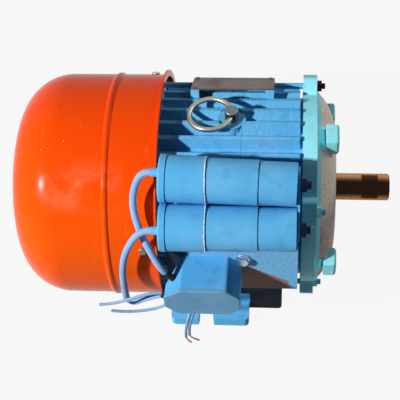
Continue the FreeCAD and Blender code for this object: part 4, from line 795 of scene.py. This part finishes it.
class MOTOR_OT_capacitors(Operator):
    """Dresses the capacitors, their seams and their bracket"""
    bl_idname = "motor.capacitors"
    bl_label = "Capacitors"

    def execute(self, context):
        finishes, shapes, _ = settings()
        smooth = blue_enamel("capacitor enamel", finishes.capacitor_blue,
                             grain=0.05 * MM, gloss=0.30, chips=0.02)
        chalk = white_seam()
        for side in ("upper", "lower"):
            dressed(side + "_capacitor_sleeve", smooth, shapes.sheet_edge)
            dressed(side + "_capacitor_cap", smooth, shapes.sheet_edge)
            seam_ring(side, chalk)
        dressed("capacitor_bracket", smooth, shapes.sheet_edge)
        dressed("bracket_screws", smooth, shapes.fastener_edge)
        # Painted shade on the cans and the nuts.
        shade = blue_enamel("can and nut shade", finishes.painted_shade_blue, grain=0.05 * MM, gloss=0.30, chips=0.02)
        dressed("capacitor_nuts", shade, shapes.fastener_edge)
        finish_nodes(shade, "capacitor_cans")
        return {"FINISHED"}


SEAM_X = -125 * MM
SEAM_REACH = 1.5 * MM
SEAM_ANGLE = math.radians(60)
RIPPLE_SIZE = 3.5 * MM
RIPPLE_HEIGHT = 0.7 * MM
RIPPLE_LEVEL = 0.55


def seam_ring(side, finish):
    """White paint that stands out of the rear seam of a capacitor, uneven all round."""
    shapes = settings()[1]
    node = side + "_capacitor_sleeve"
    ring = [v.co for v in NODES[node].data.vertices if abs(v.co.x - SEAM_X) < SEAM_REACH]
    low = Vector([min(p[i] for p in ring) for i in range(3)])
    high = Vector([max(p[i] for p in ring) for i in range(3)])
    centre = (low + high) / 2
    radius = (high.z - low.z) / 2
    bpy.ops.object.select_all(action="DESELECT")
    bpy.ops.mesh.primitive_torus_add(location=(SEAM_X, centre.y, centre.z), rotation=(0, math.pi / 2, 0),
                                     major_radius=radius, minor_radius=shapes.seam_proud,
                                     major_segments=180, minor_segments=10)
    piece = bpy.context.view_layer.objects.active
    piece.name = side + "_seam"
    bpy.ops.object.transform_apply(location=True, rotation=True, scale=True)
    ripple = bpy.data.textures.new(side + " seam ripple", "CLOUDS")
    ripple.noise_scale = RIPPLE_SIZE
    uneven = piece.modifiers.new("uneven", "DISPLACE")
    uneven.texture = ripple
    uneven.strength = RIPPLE_HEIGHT
    uneven.mid_level = RIPPLE_LEVEL
    apply_all(piece)
    bpy.ops.object.shade_smooth_by_angle(angle=SEAM_ANGLE)
    settle(piece, BODY_OF[node], finish)


class MOTOR_OT_terminal_box(Operator):
    """Dresses the terminal box with its lid, gasket and screws"""
    bl_idname = "motor.terminal_box"
    bl_label = "Terminal box"

    def execute(self, context):
        finishes, shapes, _ = settings()
        enamel = blue_enamel("box enamel", finishes.box_blue, grain=0.06 * MM, gloss=0.34, chips=0.02)
        dusty = blue_enamel("lid enamel", finishes.lid_blue, grain=0.05 * MM, gloss=0.40, chips=0.012)
        bolt = metal("worn bolt", tone=(0.66, 0.78, 0.86), shade=(0.07, 0.20, 0.36), rough=0.30, scale=420)
        # Black rubber on the lead grommets, which also stands for the shade beside the terminal box: painted
        # shade.
        rubber = moulded("grommet rubber and shade", tone=(0.012, 0.014, 0.018), shade=(0.03, 0.03, 0.035), rough=0.6)
        brass = metal("brass", tone=(0.74, 0.58, 0.27), shade=(0.35, 0.24, 0.10), rough=0.3)
        board = moulded("board", tone=(0.22, 0.11, 0.06), shade=(0.13, 0.06, 0.03), rough=0.5)
        dressed("terminal_box", enamel, 1.5 * shapes.cast_edge, segments=3)
        dressed("terminal_box_lid", dusty, shapes.sheet_edge)
        dressed("earth_bolt", bolt, shapes.fastener_edge)
        dressed("terminal_box_screws", dusty, shapes.fastener_edge / 4)
        finish_nodes(dusty, "terminal_box_gasket")
        dressed("lead_grommets", rubber, shapes.fastener_edge)
        finish_nodes(brass, "terminal_studs")
        finish_nodes(board, "terminal_board", "switch_base")
        return {"FINISHED"}


class MOTOR_OT_hardware(Operator):
    """Dresses the nameplate, the lifting ring, the eye bolt, the nuts and the foot bolts"""
    bl_idname = "motor.hardware"
    bl_label = "Hardware"

    def execute(self, context):
        finishes, shapes, _ = settings()
        zinc = metal("ring zinc", finishes.zinc, shade=(0.17, 0.16, 0.12), rough=0.24, scale=300)
        post = metal("post zinc", tone=(0.20, 0.23, 0.22), shade=(0.07, 0.08, 0.09), rough=0.34, scale=300)
        plate = metal("plate metal", finishes.plate, shade=(0.08, 0.062, 0.055), rough=0.42,
                      streak=(0.05, 1, 1), metallic=0.35, scale=240)
        dressed("nameplate", plate, shapes.sheet_edge)
        dressed("nameplate_rivets", plate, 0)
        dressed("lifting_ring", zinc, 0)
        dressed("eye_bolt", post, shapes.fastener_edge)
        dressed("tie_rod_nuts", nut_enamel(), shapes.fastener_edge)
        dressed("foot_bolts", zinc, shapes.fastener_edge)
        return {"FINISHED"}


class MOTOR_OT_rotor(Operator):
    """Finishes the shaft and everything inside the frame"""
    bl_idname = "motor.rotor"
    bl_label = "Shaft and inner pieces"

    def execute(self, context):
        shapes = settings()[1]
        steel = metal("laminations", tone=(0.28, 0.28, 0.29), shade=(0.14, 0.13, 0.13), rough=0.4,
                      streak=(6, 0.2, 0.2), metallic=0.9, scale=300)
        light = metal("cast aluminium", tone=(0.60, 0.61, 0.62), shade=(0.34, 0.34, 0.35), rough=0.4)
        wire = metal("winding wire", tone=(0.62, 0.30, 0.15), shade=(0.32, 0.12, 0.05), rough=0.35,
                     streak=(1, 5, 5), metallic=0.7, scale=400, relief=0.3 * MM)
        ground = metal("ground steel", tone=(0.66, 0.66, 0.67), shade=(0.44, 0.44, 0.45), rough=0.16)
        pressed = metal("pressed steel", tone=(0.45, 0.44, 0.41), shade=(0.22, 0.20, 0.18), rough=0.36)
        plastic = moulded("fan plastic", tone=(0.035, 0.035, 0.04), shade=(0.07, 0.07, 0.075), rough=0.45)
        rubber = moulded("seal rubber", tone=(0.02, 0.02, 0.02), shade=(0.05, 0.05, 0.05), rough=0.6)
        dressed("shaft", reflection_painted_steel(), shapes.sheet_edge)
        finish_nodes(steel, "stator_core", "rotor_core")
        finish_nodes(light, "rotor_end_rings")
        finish_nodes(wire, "slot_windings", "end_windings")
        for end in ("drive", "fan"):
            finish_nodes(ground, *(end + "_bearing_" + ring for ring in ("outer", "inner", "balls")))
        finish_nodes(pressed, "governor_plate", "governor_spool", "flyweight_one", "flyweight_two")
        finish_nodes(pressed, "contact_arm")
        finish_nodes(plastic, "cooling_fan")
        finish_nodes(rubber, "shaft_seal")
        return {"FINISHED"}


class MOTOR_OT_stage(Operator):
    """Sets up the camera, the lamps, the pale floor and the white surroundings"""
    bl_idname = "motor.stage"
    bl_label = "Stage"

    def execute(self, context):
        stage = settings()[2]
        add_camera(stage)
        add_lamp("key", stage.key_way, stage.lamp_distance, stage.key_size, stage.key_power)
        add_lamp("back", stage.back_way, stage.lamp_distance, stage.back_size, stage.back_power)
        add_floor(stage)
        light_surroundings(context.scene, stage.fill)
        context.scene.view_settings.view_transform = "Standard"
        return {"FINISHED"}


def add_camera(stage):
    ahead = Vector((math.sin(stage.yaw) * math.cos(stage.pitch), math.cos(stage.yaw) * math.cos(stage.pitch),
                    -math.sin(stage.pitch)))
    level = Vector((math.cos(stage.yaw), -math.sin(stage.yaw), 0))
    rise = level.cross(ahead)
    right = level * math.cos(stage.roll) + rise * math.sin(stage.roll)
    up = rise * math.cos(stage.roll) - level * math.sin(stage.roll)
    camera = bpy.data.objects.new("camera", bpy.data.cameras.new("camera"))
    camera.data.lens = stage.lens
    camera.matrix_world = Matrix.Translation(stage.eye) @ Matrix((right, up, -ahead)).transposed().to_4x4()
    bpy.context.scene.collection.objects.link(camera)
    bpy.context.scene.camera = camera


def add_lamp(name, way, distance, size, power):
    """A round lamp that shines on the middle of the motor."""
    middle = (CAD_BOX[0] + CAD_BOX[1]) / 2
    toward = Vector(way).normalized()
    data = bpy.data.lights.new(name, "AREA")
    data.shape = "DISK"
    data.size = size
    data.energy = power
    lamp = bpy.data.objects.new(name, data)
    lamp.location = middle + toward * distance
    lamp.rotation_euler = toward.to_track_quat("Z", "Y").to_euler()
    bpy.context.scene.collection.objects.link(lamp)


FLOOR_GREY = (0.30, 0.30, 0.30)
FLOOR_WHITE_SHARE = 0.91
WHITE = (1.0, 1.0, 1.0)
SKY_WHITE = (0.93, 0.96, 1.0)


def add_floor(stage):
    """A grey floor that the camera sees as nearly white, with a very faint shadow on it."""
    bpy.ops.object.select_all(action="DESELECT")
    bpy.ops.mesh.primitive_plane_add(size=stage.floor_size, location=(0, 0, CAD_BOX[0].z))
    floor = bpy.context.view_layer.objects.active
    floor.name = "floor"
    bpy.ops.object.transform_apply(location=True, rotation=True, scale=True)
    f = Finish("pale floor")
    f.set(Base_Color=opaque(FLOOR_GREY), Roughness=0.9, Specular_IOR_Level=0.1)
    lit = Socket(f, f.shader.outputs[0])
    white = f.node("ShaderNodeEmission", None, {"Color": opaque(WHITE), "Strength": 1.0})
    both = f.node("ShaderNodeMixShader", None, {0: FLOOR_WHITE_SHARE * seen_rays(f), 1: lit, 2: white})
    f.feed(f.find("ShaderNodeOutputMaterial").inputs["Surface"], both)
    floor.data.materials.append(f.material)


def seen_rays(tree):
    """1 for rays of the camera and of reflections, 0 for rays that carry light to the motor."""
    path = tree.nodes.new("ShaderNodeLightPath").outputs
    mirrored = (Socket(tree, path[name]) for name in ("Is Glossy Ray", "Is Transmission Ray"))
    return sum(mirrored, Socket(tree, path["Is Camera Ray"]))


def light_surroundings(scene, fill):
    """White as the camera and reflections see it, and a soft even light on the motor."""
    scene.world = bpy.data.worlds.new("surroundings")
    tree = Nodes(scene.world)
    soft = tree.node("ShaderNodeBackground", None, {"Color": opaque(SKY_WHITE), "Strength": fill})
    white = tree.node("ShaderNodeBackground", None, {"Color": opaque(WHITE), "Strength": 1.0})
    both = tree.node("ShaderNodeMixShader", None, {0: seen_rays(tree), 1: soft, 2: white})
    tree.feed(tree.find("ShaderNodeOutputWorld").inputs["Surface"], both)


class MOTOR_PT_panel(Panel):
    """The motor's pieces and settings in the sidebar"""
    bl_label = "Induction motor"
    bl_idname = "MOTOR_PT_panel"
    bl_space_type = "VIEW_3D"
    bl_region_type = "UI"
    bl_category = "Motor"

    def draw(self, context):
        for group in settings():
            box = self.layout.box()
            for name in group.bl_rna.properties.keys():
                if name not in ("rna_type", "name"):
                    box.prop(group, name)
        for operator in OPERATORS:
            self.layout.operator(operator.bl_idname)


GROUPS = {"motor_finishes": MotorFinishes, "motor_shapes": MotorShapes, "motor_stage": MotorStage}
OPERATORS = [MOTOR_OT_stage, MOTOR_OT_leads, MOTOR_OT_castings, MOTOR_OT_cover, MOTOR_OT_capacitors,
             MOTOR_OT_terminal_box, MOTOR_OT_hardware, MOTOR_OT_rotor]
CLASSES = [*GROUPS.values(), *OPERATORS, MOTOR_PT_panel]


def register():
    for kind in CLASSES:
        bpy.utils.register_class(kind)
    for name, group in GROUPS.items():
        setattr(bpy.types.Scene, name, PointerProperty(type=group))


def unregister():
    for name in GROUPS:
        delattr(bpy.types.Scene, name)
    for kind in reversed(CLASSES):
        bpy.utils.unregister_class(kind)


def main():
    register()
    bpy.ops.motor.stage()
    bpy.ops.motor.leads()
    bpy.ops.motor.castings()
    bpy.ops.motor.cover()
    bpy.ops.motor.capacitors()
    bpy.ops.motor.terminal_box()
    bpy.ops.motor.hardware()
    bpy.ops.motor.rotor()


if __name__ == "__main__":
    main()
